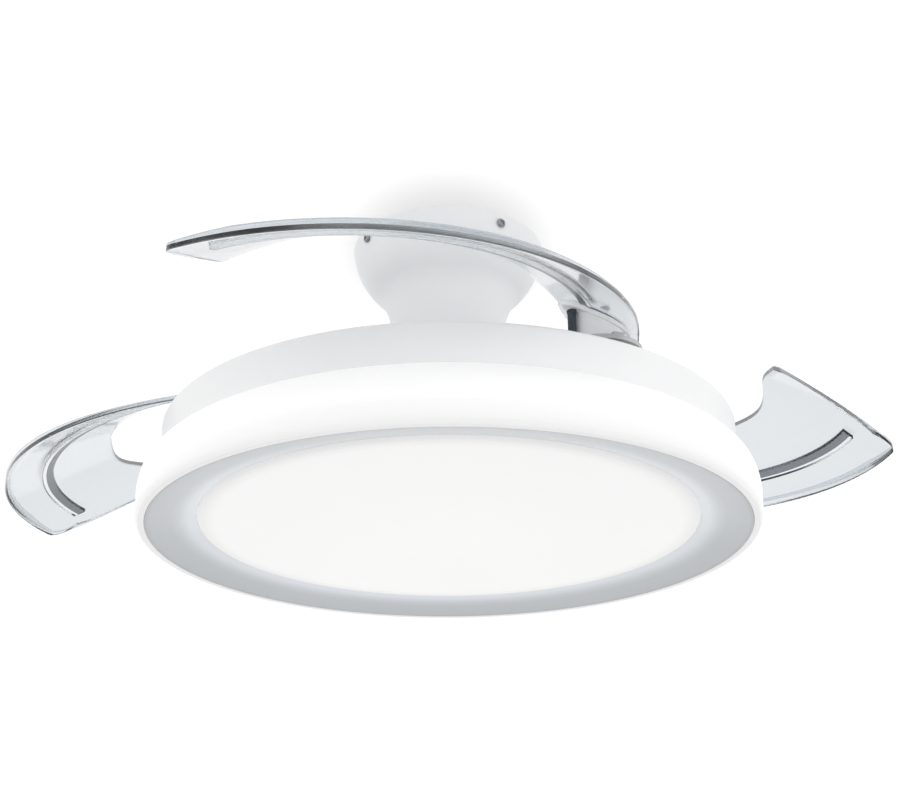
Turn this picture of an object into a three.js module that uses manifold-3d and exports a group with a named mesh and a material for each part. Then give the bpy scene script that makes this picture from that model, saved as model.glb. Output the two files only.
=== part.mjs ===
// Ceiling fan with three folding clear blades above a drum lamp.
// Millimetres, +Z up. The origin is the middle of the ceiling face, and everything hangs below it.
import * as THREE from 'three';
import { mergeVertices } from 'three/addons/utils/BufferGeometryUtils.js';
import Module from 'manifold-3d';

const wasm = await Module();
wasm.setup();

// ---- Driving dimensions -------------------------------------------------------------------------
const GAP = 0.3; // clearance between neighbouring pieces
const SEGMENTS = 36; // facets round the drum and its rings
const MEDIUM = 20; // facets round the motor and the shaft
const FINE = 10; // facets round a small cylinder
const PAD_FACETS = 14; // facets round a clamp

// Canopy and hanger
const CANOPY_RADIUS = 84;
const CANOPY_SHOULDER_RADIUS = 63;
const CANOPY_SHOULDER_DEPTH = 43;
const CANOPY_NECK_RADIUS = 47;
const CANOPY_DEPTH = 110;
const CANOPY_WALL = 2.2;
const CANOPY_RIM_LEAN = 2; // these four shape the two curves of the bell
const CANOPY_SHOULDER_PULL = 9;
const CANOPY_FLARE_PULL = 10;
const CANOPY_NECK_PULL = 29;
const CANOPY_STEPS = 3; // facets along each of the two curves of the bell
const BRACKET_RADIUS = 70;
const BRACKET_THICKNESS = 2.5;
const BRACKET_EAR_WIDTH = 16;
const BRACKET_EAR_DROP = 15;
const BRACKET_EAR_THICKNESS = 3;
const EAR_CLEARANCE = 5;
const BRACKET_SLOT_RADIUS = 48;
const BRACKET_SLOT_LENGTH = 22;
const BRACKET_SLOT_WIDTH = 6;
const CABLE_HOLE_RADIUS = 9;
const CABLE_HOLE_OFFSET = 34; // along +X and -Y
const CANOPY_SCREW_COUNT = 4;
const CANOPY_SCREW_AZIMUTH = -57;
const CANOPY_SCREW_DEPTH = 9;
const CANOPY_SCREW_HEAD_RADIUS = 4;
const CANOPY_SCREW_HEAD_HEIGHT = 2.4;
const CANOPY_SCREW_RADIUS = 2;
const CANOPY_SCREW_SINK = 1; // of the head into the curve of the bell
const SCREW_SLOT_DEPTH = 0.8;
const SCREW_SLOT_WIDTH = 1.2;
const HANGER_FLANGE_RADIUS = 30;
const HANGER_FLANGE_THICKNESS = 3;
const HANGER_RADIUS = 14;
const HANGER_DEPTH = 92;
const CROSS_PIN_RADIUS = 2.5;
const CROSS_PIN_DEPTH = 64;
const CROSS_PIN_OVERHANG = 5;
const RECEIVER_SIZE = [66, 24, 20];
const RECEIVER_Y = 44;
const TERMINAL_SIZE = [34, 16, 12];
const TERMINAL_Y = -47;
const TERMINAL_WAYS = 3;
const TERMINAL_WAY_RADIUS = 2.4;

// Shaft, motor and bearings
const SHAFT_RADIUS = 9;
const SHAFT_BORE = 6;
const SHAFT_TOP = -30;
const SHAFT_COLLAR_RADIUS = 16;
const SHAFT_COLLAR_THICKNESS = 3.5;
const SHAFT_NUT_RADIUS = 16;
const SHAFT_NUT_THICKNESS = 8;
const SHAFT_END_BELOW_NUT = 4;
const BEARING_RADIUS = 19;
const BEARING_WIDTH = 8.4;
const MOTOR_RADIUS = 92;
const MOTOR_WALL = 3;
const MOTOR_TOP = -117;
const MOTOR_BOTTOM = -169;
const MOTOR_HUB_RADIUS = 25;
const MOTOR_LIP = 1.6;
const SHAFT_PASS_RADIUS = 14.5;
const MAGNET_THICKNESS = 4;
const MAGNET_HEIGHT = 28;
const STATOR_HEIGHT = 24;
const STATOR_TEETH = 12;
const STATOR_AIR_GAP = 0.8;
const STATOR_HUB_RADIUS = 30;
const STATOR_TOOTH_WIDTH = 9;
const STATOR_SHOE_DEPTH = 5;
const STATOR_SLOT_MOUTH = 4;
const WINDING_OVERHANG = 4;
const WINDING_CLEARANCE = 1;
const WINDING_LEG_INSET = 8; // from the winding's rim to its legs
const WINDING_LEG_TIP = 0.4; // half the leg's width at the hub
const OVERLAP = 1; // how far joined solids and cutters run past each other

// Blade carrier and hinges
const BLADE_COUNT = 3;
const BLADE_HALF_STEP = 180 / BLADE_COUNT; // from a hinge to midway between two
const HINGE_RADIUS = 191; // from the fan's axis to each blade's hinge
const HINGE_AZIMUTH = -53.3; // of the first hinge, at rest
const DISC_THICKNESS = 3.5;
const DISC_RADIUS = 100;
const DISC_ARM_OVERLAP = 20;
const DISC_ARM_END_RADIUS = 32;
const DISC_ARM_HALF_WIDTH = 26;
const DISC_WINDOW_RADIUS = 22;
const DISC_WINDOW_DISTANCE = 128;
const DISC_SCREW_RADIUS = 2;
const DISC_SCREW_HEAD_RADIUS = 4.5;
const DISC_SCREW_HEAD_HEIGHT = 2.4;
const DISC_SCREW_DISTANCE = 70;
const POST_RADIUS = 5;
const POST_FLANGE_RADIUS = 9;
const POST_FLANGE_THICKNESS = 3;
const POST_TOP = -128;
const CAP_RADIUS = 11;
const CAP_TOP = -125;
const HUB_RADIUS = 10;
const HUB_TOP = -130;
const LOWER_CLAMP_RADIUS = 24;
const LOWER_CLAMP_THICKNESS = 4;
const CLAMP_EAR_REACH = 7; // past that radius, over the stop pin
const SKIRT_RADIUS = 21.5; // hangs from the lower clamp and hides the spring
const SKIRT_WALL = 2;
const SKIRT_LIFT = 1.3; // between the skirt and the stop blocks
const UPPER_CLAMP_RADIUS = 22.5;
const UPPER_CLAMP_THICKNESS = 3;
const CLAMP_SCREW_RADIUS = 2;
const CLAMP_SCREW_HEAD_RADIUS = 4;
const CLAMP_SCREW_HEAD_HEIGHT = 2.4;
const CLAMP_SCREW_DISTANCE = 17;
const CLAMP_SCREW_ANGLE = -70;
const STOP_PIN_RADIUS = 3.8;
const STOP_PIN_DISTANCE = 26;
const STOP_PIN_ANGLE = 219; // about the hinge, from the outward direction
const STOP_PIN_LIFT = 1; // between the pin's end and the blade disc
const STOP_BLOCK_LENGTH = 10.6;
const STOP_BLOCK_WIDTH = 9;
const STOP_BLOCK_HEIGHT = 2.5;
const STOP_CLOSED_ANGLE = 210;
const STOP_OPEN_ANGLE = 345;
const SPRING_COIL_RADIUS = 13.2;
const SPRING_WIRE_RADIUS = 1.1;
const SPRING_TURNS = 3;
const SPRING_PITCH = 2.7;
const SPRING_STEPS = 8; // facets per turn
const SPRING_SIDES = 5;

// Drum lamp
const RING_RADIUS = 255;
const RING_OVERHANG = 18; // past the crease
const DRUM_CREASE_RADIUS = RING_RADIUS - RING_OVERHANG;
const DRUM_FLARE = 1.5; // of its upper rim past the crease
const DRUM_RADIUS = DRUM_CREASE_RADIUS + DRUM_FLARE;
const DRUM_TOP = -184;
const DRUM_CREASE = -216;
const DRUM_WALL = 2.5;
const DRUM_EDGE_RADIUS = 3;
const DRUM_EDGE_MIDDLE = 0.3; // of the radius, where the round edge turns
const DRUM_BOSS_COUNT = 3;
const DRUM_BOSS_AZIMUTH = 30;
const PAN_INSET = 11; // inside the crease
const PAN_RADIUS = DRUM_CREASE_RADIUS - PAN_INSET;
const DRUM_BOSS_INSET = 19; // inside the pan's rim
const DRUM_BOSS_DISTANCE = PAN_RADIUS - DRUM_BOSS_INSET;
const DRUM_BOSS_RADIUS = 6;
const RING_SWELL_Z = -246;
const RING_BOTTOM = -268;
const RING_WALL = 2.5;
const RING_TOP_REACH = 6; // these two shape the swell's shoulder
const RING_SIDE_RISE = 16;
const RING_FOOT_RADIUS = 3;
const RING_FOOT_RISE = 4;
const RING_FOOT_DRAFT = 0.5;
const RING_LIP_WIDTH = 8;
const RING_LIP_RADIUS = RING_RADIUS - RING_LIP_WIDTH;
const RING_STEPS = 3;
const TRIM_WIDTH = 41;
const TRIM_INNER_RADIUS = RING_LIP_RADIUS - TRIM_WIDTH;
const TRIM_INNER_Z = -257;
const TRIM_THICKNESS = 1.6;
const TRIM_RISE = 0.5; // of its outer edge above the ring's lip
const TRIM_SHELF_WIDTH = 4;
const TRIM_INNER_STEP = 1;
const DIFFUSER_BORDER = 8; // past the trim's inner edge
const DIFFUSER_RADIUS = TRIM_INNER_RADIUS + DIFFUSER_BORDER;
const DIFFUSER_THICKNESS = 2.5;
const DIFFUSER_DROP = 5; // how far its flat middle stands below its border
const DIFFUSER_FACE_INSET = 6; // inside the trim's inner edge
const DIFFUSER_FACE_RADIUS = TRIM_INNER_RADIUS - DIFFUSER_FACE_INSET;
const DIFFUSER_EDGE_RISE = 1.5;
const DIFFUSER_EDGE_WIDTH = 1;
const PAN_Z = -228;
const PAN_THICKNESS = 1.5;
const PAN_RIM_DROP = 14;
const BOARD_THICKNESS = 1.6;
const MAIN_BOARD_INSET = 19; // inside the bosses
const MAIN_BOARD_RADIUS = DRUM_BOSS_DISTANCE - MAIN_BOARD_INSET;
const MAIN_BOARD_BORE = 40;
const PAN_BORE = 30;
const LED_DISTANCES = [94, 160]; // from the axis, taken in turn
const STRIP_DROP = 2; // below the pan's top
const LED_COUNT = 8;
const LED_SIZE = [6, 6, 1.2];
const STRIP_HEIGHT = 10;
const PAN_SCREW_RADIUS = 2;
const PAN_SCREW_HEAD_RADIUS = 4.5;
const PAN_SCREW_HEAD_HEIGHT = 2.4;
const PAN_SCREW_LENGTH = 12;
const DRIVER_SIZE = [120, 56, 26];
const DRIVER_X = 100;

// Blades, laid out as they lie when they are closed round the fan's axis
const BLADE_EYE_RADIUS = 30; // the end about the hinge
const BLADE_EYE_SQUARENESS = 5; // of that end's outer corner, where 2 is round
const BLADE_OUTER_RADIUS = HINGE_RADIUS + BLADE_EYE_RADIUS;
const BLADE_THICKNESS = 3.5;
const BLADE_PITCH = 0.53; // rise per millimetre inwards
const BLADE_ROOT_ANGLE = 0;
const BLADE_TAIL_ANGLE = -121.8;
const BLADE_HOOK_ANGLE = 11; // how far the inner end runs on past the outer corner
const BLADE_CORNER_LAG = 6; // how far, in degrees, the outer corner is held back
const BLADE_LAG_START = 0.8; // of the blade's length, where it starts to be held back
const BLADE_HOOK_POWER = 2.2;
const BLADE_CORNER_RADIUS = 9; // of the tail's outer corner
const BLADE_CORNER_STEPS = 3;
const BLADE_SEAT_Z = -143.1; // the underside of the sheet at the hinge
const BLADE_ROOT_EDGE_Z = BLADE_SEAT_Z - BLADE_PITCH * BLADE_EYE_RADIUS;
const BLADE_TAIL_RISE = 2.5; // of the tail's outer edge above the drum
const BLADE_TAIL_EDGE_Z = DRUM_TOP + BLADE_TAIL_RISE;
const BLADE_EDGE_SAG = 8;
const BLADE_ARM_WIDTH = 69.5; // the blade's widths, from the root to the tail
const BLADE_MIDDLE_WIDTH = 91.5;
const BLADE_WAIST_WIDTH = 112;
const BLADE_TIP_WIDTH = 105.5;
const BLADE_EDGE_HEIGHT = 9; // of the upturned outer edge
const BLADE_EDGE_THICKNESS = 3;
const BLADE_RIB_INSET = 32; // from the outer edge
const BLADE_RIB_OUTER_RADIUS = BLADE_OUTER_RADIUS - BLADE_RIB_INSET;
const BLADE_RIB_WIDTH = 10.5;
const BLADE_RIB_DEPTH = 3;
const CLAMP_GAP = 0.45; // between the curved sheet and each clamp
const BLADE_RIB_ROOT_ANGLE = -12;
const BLADE_RIB_TAIL_ANGLE = -111;
const BLADE_STATIONS = 18;
const BLADE_COLUMNS = 3;
const PAD_RINGS = 2;
const OPENING_AT_REST = [49, 50.9, 84.8]; // how far each blade stands open, in degrees

// ---- Geometry helpers ---------------------------------------------------------------------------
const radians = THREE.MathUtils.degToRad;

// Positions only, shared where faces meet, with the faces pointing out.
function bare(geometry) {
  const skin = geometry.clone();
  skin.deleteAttribute('normal');
  skin.deleteAttribute('uv');
  return facingOut(mergeVertices(skin, 1e-4));
}

function solidOf(geometry) {
  const skin = bare(geometry);
  const mesh = new wasm.Mesh({
    numProp: 3,
    vertProperties: new Float32Array(skin.attributes.position.array),
    triVerts: new Uint32Array(skin.index.array),
  });
  mesh.merge();
  return new wasm.Manifold(mesh);
}

function geometryOf(solid) {
  const mesh = solid.getMesh();
  const geometry = new THREE.BufferGeometry();
  geometry.setAttribute('position', new THREE.BufferAttribute(mesh.vertProperties, 3));
  geometry.setIndex(new THREE.BufferAttribute(mesh.triVerts, 1));
  return geometry;
}

function cut(geometry, ...tools) {
  return geometryOf(tools.reduce((solid, tool) => solid.subtract(solidOf(tool)), solidOf(geometry)));
}

function join(geometry, ...others) {
  return geometryOf(others.reduce((solid, other) => solid.add(solidOf(other)), solidOf(geometry)));
}

// A closed outline of [radius, z] points, counter-clockwise in the (radius, z) plane, spun about Z.
function turned(outline, segments = SEGMENTS) {
  const onAxis = outline[0][0] === 0;
  const points = outline.map(([radius, z]) => new THREE.Vector2(radius, z));
  if (!onAxis) points.push(points[0].clone());
  return new THREE.LatheGeometry(points, segments).rotateX(Math.PI / 2);
}

function ring(outer, inner, low, high, segments = SEGMENTS) {
  return turned([[inner, low], [outer, low], [outer, high], [inner, high]], segments);
}

function rod(radius, low, high, x = 0, y = 0, segments = FINE) {
  const rodShape = new THREE.CylinderGeometry(radius, radius, high - low, segments);
  return rodShape.rotateX(Math.PI / 2).translate(x, y, (low + high) / 2);
}

// The radius of a faceted bore that clears a turning part of this radius all the way round.
function roomAround(radius, facets) {
  return (radius + GAP) / Math.cos(Math.PI / facets);
}

function box(size, x, y, z) {
  return new THREE.BoxGeometry(...size).translate(x, y, z);
}

function plate(shape, low, high) {
  const options = { depth: high - low, bevelEnabled: false, curveSegments: FINE };
  return new THREE.ExtrudeGeometry(shape, options).translate(0, 0, low);
}

function bezier(start, first, second, end, steps) {
  const handles = [start, first, second, end].map((point) => new THREE.Vector2(...point));
  return new THREE.CubicBezierCurve(...handles).getPoints(steps).map((point) => [point.x, point.y]);
}

// Joins loops of equal length into one closed skin, with a cap on the first and on the last loop.
function loft(loops, capOutline) {
  const count = loops[0].length;
  const positions = loops.flat().flatMap((point) => [point.x, point.y, point.z]);
  const faces = [];
  for (let i = 0; i + 1 < loops.length; i += 1) {
    for (let j = 0; j < count; j += 1) {
      const next = (j + 1) % count;
      const a = i * count + j;
      const b = i * count + next;
      faces.push(a, b, b + count, a, b + count, a + count);
    }
  }
  const last = (loops.length - 1) * count;
  for (const [a, b, c] of THREE.ShapeUtils.triangulateShape(capOutline, [])) {
    faces.push(a, c, b, last + a, last + b, last + c);
  }
  const geometry = new THREE.BufferGeometry();
  geometry.setAttribute('position', new THREE.BufferAttribute(new Float32Array(positions), 3));
  geometry.setIndex(faces);
  return facingOut(geometry);
}

// Turns every face over if the skin encloses a negative volume.
function facingOut(geometry) {
  const index = geometry.index.array;
  const corners = [new THREE.Vector3(), new THREE.Vector3(), new THREE.Vector3()];
  let volume = 0;
  for (let i = 0; i < index.length; i += 3) {
    corners.forEach((corner, k) => corner.fromBufferAttribute(geometry.attributes.position, index[i + k]));
    volume += corners[0].dot(corners[1].clone().cross(corners[2]));
  }
  if (volume < 0) {
    for (let i = 0; i < index.length; i += 3) {
      [index[i + 1], index[i + 2]] = [index[i + 2], index[i + 1]];
    }
  }
  return geometry;
}

// ---- Materials ----------------------------------------------------------------------------------
const finish = (color, roughness, metalness, extra = {}) => () =>
  new THREE.MeshStandardMaterial({ color, roughness, metalness, ...extra });
const whitePaint = finish(0xf0f0f2, 0.45, 0);
const whitePlastic = finish(0xe9eaee, 0.4, 0);
const clearPlastic = finish(0xd9dfe4, 0.08, 0, { transparent: true, opacity: 0.45 });
const opalPlastic = finish(0xffffff, 0.5, 0, { emissive: 0xffffff, emissiveIntensity: 0.8 });
const greyTrim = finish(0xb9bcc2, 0.35, 0.2);
const galvanised = finish(0xa9adb2, 0.45, 0.9);
const brightSteel = finish(0xc9cbcf, 0.25, 1);
const castAluminium = finish(0xb8babd, 0.5, 0.9);
const blackRubber = finish(0x1b1c1f, 0.8, 0);
const springSteel = finish(0x8d9196, 0.35, 1);
const laminations = finish(0x6d7074, 0.55, 0.8);
const copperEnamel = finish(0xa5562a, 0.4, 0.6);
const magnetGrey = finish(0x3c3e42, 0.6, 0.4);
const boxPlastic = finish(0xdcdcd8, 0.6, 0);
const boardWhite = finish(0xf4f4ef, 0.6, 0);

function named(name, geometry, material) {
  const mesh = new THREE.Mesh(bare(geometry), material());
  mesh.name = name;
  return mesh;
}

// ---- Canopy and hanger --------------------------------------------------------------------------
const EAR_RADIUS = CANOPY_RADIUS - CANOPY_WALL - EAR_CLEARANCE;

function canopyOutline(inset) {
  const bell = bezier(
    [CANOPY_RADIUS - inset, 0],
    [CANOPY_RADIUS - CANOPY_RIM_LEAN - inset, -CANOPY_SHOULDER_DEPTH / 2],
    [CANOPY_SHOULDER_RADIUS + CANOPY_SHOULDER_PULL - inset, -CANOPY_SHOULDER_DEPTH + CANOPY_SHOULDER_PULL],
    [CANOPY_SHOULDER_RADIUS - inset, -CANOPY_SHOULDER_DEPTH],
    CANOPY_STEPS,
  );
  const neck = bezier(
    [CANOPY_SHOULDER_RADIUS - inset, -CANOPY_SHOULDER_DEPTH],
    [CANOPY_SHOULDER_RADIUS - CANOPY_FLARE_PULL - inset, -CANOPY_SHOULDER_DEPTH - CANOPY_FLARE_PULL],
    [CANOPY_NECK_RADIUS - inset, -CANOPY_SHOULDER_DEPTH - CANOPY_NECK_PULL],
    [CANOPY_NECK_RADIUS - inset, -CANOPY_DEPTH],
    CANOPY_STEPS,
  );
  return [...bell, ...neck.slice(1)];
}

function aroundScrews(make) {
  const step = 360 / CANOPY_SCREW_COUNT;
  return Array.from({ length: CANOPY_SCREW_COUNT }, (_, i) =>
    make().rotateZ(radians(CANOPY_SCREW_AZIMUTH + i * step)));
}

// A cylinder that lies along X at the height of the canopy's screws.
function screwRod(radius, from, to) {
  const lying = new THREE.CylinderGeometry(radius, radius, to - from, FINE).rotateZ(Math.PI / 2);
  return lying.translate((from + to) / 2, 0, -CANOPY_SCREW_DEPTH);
}

function makeCanopy() {
  const outside = canopyOutline(0);
  const inside = canopyOutline(CANOPY_WALL).reverse();
  const shell = turned([...inside, ...outside], MEDIUM + FINE);
  const holes = aroundScrews(() => screwRod(CANOPY_SCREW_RADIUS + GAP, EAR_RADIUS, CANOPY_RADIUS + OVERLAP));
  return cut(shell, ...holes);
}

function makeBracket() {
  const disc = rod(BRACKET_RADIUS, -BRACKET_THICKNESS, 0, 0, 0, SEGMENTS);
  const armLength = EAR_RADIUS - BRACKET_RADIUS + BRACKET_EAR_WIDTH / 2;
  const arms = aroundScrews(() => box(
    [armLength, BRACKET_EAR_WIDTH, BRACKET_THICKNESS],
    EAR_RADIUS - armLength / 2,
    0,
    -BRACKET_THICKNESS / 2,
  ));
  const ears = aroundScrews(() => box(
    [BRACKET_EAR_THICKNESS, BRACKET_EAR_WIDTH, BRACKET_EAR_DROP],
    EAR_RADIUS - BRACKET_EAR_THICKNESS / 2,
    0,
    -BRACKET_EAR_DROP / 2,
  ));
  const holes = aroundScrews(() => screwRod(
    CANOPY_SCREW_RADIUS + GAP,
    EAR_RADIUS - 2 * BRACKET_EAR_THICKNESS,
    EAR_RADIUS + OVERLAP,
  ));
  const slots = [-1, 1].map((side) => box(
    [BRACKET_SLOT_LENGTH, BRACKET_SLOT_WIDTH, 4 * BRACKET_THICKNESS],
    side * BRACKET_SLOT_RADIUS,
    0,
    0,
  ));
  const drill = rod(CABLE_HOLE_RADIUS, -2 * BRACKET_THICKNESS, OVERLAP);
  const cableHole = drill.translate(CABLE_HOLE_OFFSET, -CABLE_HOLE_OFFSET, 0);
  return cut(join(disc, ...arms, ...ears), ...holes, ...slots, cableHole);
}

function makeCanopyScrew() {
  const seat = CANOPY_RADIUS - CANOPY_SCREW_SINK;
  const head = screwRod(CANOPY_SCREW_HEAD_RADIUS, seat, seat + CANOPY_SCREW_HEAD_HEIGHT);
  const end = EAR_RADIUS - 2 * BRACKET_EAR_THICKNESS + OVERLAP;
  const shank = screwRod(CANOPY_SCREW_RADIUS, end, CANOPY_RADIUS);
  const slot = box(
    [2 * SCREW_SLOT_DEPTH, 2 * CANOPY_SCREW_HEAD_RADIUS + OVERLAP, SCREW_SLOT_WIDTH],
    seat + CANOPY_SCREW_HEAD_HEIGHT,
    0,
    -CANOPY_SCREW_DEPTH,
  );
  return cut(join(head, shank), slot);
}

function makeHanger() {
  const flangeTop = -BRACKET_THICKNESS - GAP;
  const tube = ring(HANGER_RADIUS, SHAFT_RADIUS + GAP, -HANGER_DEPTH, flangeTop, MEDIUM);
  const flange = ring(
    HANGER_FLANGE_RADIUS,
    SHAFT_RADIUS + GAP,
    flangeTop - HANGER_FLANGE_THICKNESS,
    flangeTop,
    MEDIUM,
  );
  return cut(join(tube, flange), crossPinRod(CROSS_PIN_RADIUS + GAP, HANGER_RADIUS + OVERLAP));
}

function crossPinRod(radius, reach) {
  const pin = new THREE.CylinderGeometry(radius, radius, 2 * reach, FINE).rotateZ(Math.PI / 2);
  return pin.translate(0, 0, -CROSS_PIN_DEPTH);
}

function makeReceiver() {
  const top = -BRACKET_THICKNESS - GAP;
  return box(RECEIVER_SIZE, 0, RECEIVER_Y, top - RECEIVER_SIZE[2] / 2);
}

function makeTerminal() {
  const top = -BRACKET_THICKNESS - GAP;
  const [length, depth, height] = TERMINAL_SIZE;
  const block = box(TERMINAL_SIZE, 0, TERMINAL_Y, top - height / 2);
  const pitch = length / TERMINAL_WAYS;
  const ways = Array.from({ length: TERMINAL_WAYS }, (_, i) => {
    const way = new THREE.CylinderGeometry(TERMINAL_WAY_RADIUS, TERMINAL_WAY_RADIUS, 2 * depth, FINE);
    return way.translate((i - (TERMINAL_WAYS - 1) / 2) * pitch, TERMINAL_Y, top - height / 2);
  });
  return cut(block, ...ways);
}

// ---- Shaft, bearings and motor ------------------------------------------------------------------
const COLLAR_BOTTOM = DRUM_TOP + GAP;
const NUT_TOP = DRUM_TOP - DRUM_WALL - GAP;
const NUT_BOTTOM = NUT_TOP - SHAFT_NUT_THICKNESS;
const SHAFT_BOTTOM = NUT_BOTTOM - SHAFT_END_BELOW_NUT;
const UPPER_BEARING_TOP = MOTOR_TOP - MOTOR_WALL - GAP;
const LOWER_BEARING_BOTTOM = MOTOR_BOTTOM - MOTOR_WALL + GAP;
const RACE_GAP_RADIUS = (SHAFT_RADIUS + GAP + BEARING_RADIUS) / 2;
const STATOR_MIDDLE = (MOTOR_TOP + MOTOR_BOTTOM) / 2 - 1;
const MAGNET_BORE = MOTOR_RADIUS - MOTOR_WALL - GAP - MAGNET_THICKNESS;
const STATOR_RADIUS = MAGNET_BORE - STATOR_AIR_GAP;

function makeShaft() {
  const tube = ring(SHAFT_RADIUS, SHAFT_BORE, SHAFT_BOTTOM, SHAFT_TOP, MEDIUM);
  const collar = ring(
    SHAFT_COLLAR_RADIUS,
    SHAFT_BORE,
    COLLAR_BOTTOM,
    COLLAR_BOTTOM + SHAFT_COLLAR_THICKNESS,
    MEDIUM,
  );
  return cut(join(tube, collar), crossPinRod(CROSS_PIN_RADIUS + GAP, HANGER_RADIUS + OVERLAP));
}

function makeShaftNut() {
  const hexagon = new THREE.CylinderGeometry(SHAFT_NUT_RADIUS, SHAFT_NUT_RADIUS, SHAFT_NUT_THICKNESS, 6);
  const body = hexagon.rotateX(Math.PI / 2).translate(0, 0, (NUT_TOP + NUT_BOTTOM) / 2);
  return cut(body, rod(SHAFT_RADIUS + GAP, NUT_BOTTOM - OVERLAP, NUT_TOP + OVERLAP, 0, 0, MEDIUM));
}

function innerRace(bottom) {
  return ring(RACE_GAP_RADIUS - GAP / 2, SHAFT_RADIUS + GAP, bottom, bottom + BEARING_WIDTH, MEDIUM);
}

function outerRace(bottom) {
  const bore = roomAround(RACE_GAP_RADIUS - GAP / 2, MEDIUM);
  return ring(BEARING_RADIUS, bore, bottom, bottom + BEARING_WIDTH, MEDIUM);
}

function makeHousing() {
  const underside = MOTOR_TOP - MOTOR_WALL;
  const seatBottom = UPPER_BEARING_TOP - BEARING_WIDTH;
  return turned([
    [SHAFT_PASS_RADIUS, underside],
    [BEARING_RADIUS + GAP, underside],
    [BEARING_RADIUS + GAP, seatBottom],
    [MOTOR_HUB_RADIUS, seatBottom],
    [MOTOR_HUB_RADIUS, underside],
    [MOTOR_RADIUS - MOTOR_WALL, underside],
    [MOTOR_RADIUS - MOTOR_WALL, MOTOR_BOTTOM + MOTOR_WALL + GAP],
    [MOTOR_RADIUS, MOTOR_BOTTOM + MOTOR_WALL + GAP],
    [MOTOR_RADIUS, MOTOR_TOP - MOTOR_WALL],
    [MOTOR_RADIUS - MOTOR_WALL, MOTOR_TOP],
    [SHAFT_PASS_RADIUS, MOTOR_TOP],
  ], MEDIUM + FINE);
}

function makeRotorCover() {
  const top = MOTOR_BOTTOM + MOTOR_WALL;
  const seatTop = LOWER_BEARING_BOTTOM + BEARING_WIDTH;
  const lipBottom = LOWER_BEARING_BOTTOM - GAP - MOTOR_LIP;
  const cover = turned([
    [SHAFT_PASS_RADIUS, lipBottom],
    [MOTOR_HUB_RADIUS, lipBottom],
    [MOTOR_HUB_RADIUS, MOTOR_BOTTOM],
    [MOTOR_RADIUS, MOTOR_BOTTOM],
    [MOTOR_RADIUS, top],
    [MOTOR_HUB_RADIUS, top],
    [MOTOR_HUB_RADIUS, seatTop],
    [BEARING_RADIUS + GAP, seatTop],
    [BEARING_RADIUS + GAP, LOWER_BEARING_BOTTOM - GAP],
    [SHAFT_PASS_RADIUS, LOWER_BEARING_BOTTOM - GAP],
  ], MEDIUM + FINE);
  const holes = aroundBlades(() => rod(
    DISC_SCREW_RADIUS + GAP,
    MOTOR_BOTTOM - OVERLAP,
    MOTOR_BOTTOM + MOTOR_WALL + OVERLAP,
    DISC_SCREW_DISTANCE,
  ), BLADE_HALF_STEP);
  return cut(cover, ...holes);
}

function aroundBlades(make, turn = 0) {
  const step = 360 / BLADE_COUNT;
  return Array.from({ length: BLADE_COUNT }, (_, i) => make().rotateZ(radians(turn + i * step)));
}

function makeMagnet() {
  const low = STATOR_MIDDLE - MAGNET_HEIGHT / 2;
  return ring(MOTOR_RADIUS - MOTOR_WALL - GAP, MAGNET_BORE, low, low + MAGNET_HEIGHT, MEDIUM + FINE);
}

// One T-shaped tooth reaching out along +X from the stator's hub.
function statorTooth() {
  const half = STATOR_TOOTH_WIDTH / 2;
  const shoeHalf = (Math.PI * STATOR_RADIUS) / STATOR_TEETH - STATOR_SLOT_MOUTH / 2;
  const shoeTop = Math.sqrt(STATOR_RADIUS ** 2 - shoeHalf ** 2);
  const shape = new THREE.Shape([
    [STATOR_HUB_RADIUS - 4 * OVERLAP, -half],
    [shoeTop - STATOR_SHOE_DEPTH, -half],
    [shoeTop - STATOR_SHOE_DEPTH / 2, -shoeHalf],
    [shoeTop, -shoeHalf],
    [STATOR_RADIUS, 0],
    [shoeTop, shoeHalf],
    [shoeTop - STATOR_SHOE_DEPTH / 2, shoeHalf],
    [shoeTop - STATOR_SHOE_DEPTH, half],
    [STATOR_HUB_RADIUS - 4 * OVERLAP, half],
  ].map(([x, y]) => new THREE.Vector2(x, y)));
  return plate(shape, STATOR_MIDDLE - STATOR_HEIGHT / 2, STATOR_MIDDLE + STATOR_HEIGHT / 2);
}

function aroundTeeth(make, turn = 0) {
  const step = 360 / STATOR_TEETH;
  return Array.from({ length: STATOR_TEETH }, (_, i) => make().rotateZ(radians(turn + i * step)));
}

function makeStatorCore() {
  const low = STATOR_MIDDLE - STATOR_HEIGHT / 2;
  const hub = ring(STATOR_HUB_RADIUS, SHAFT_RADIUS + GAP, low, low + STATOR_HEIGHT, MEDIUM);
  return join(hub, ...aroundTeeth(statorTooth));
}

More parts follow.
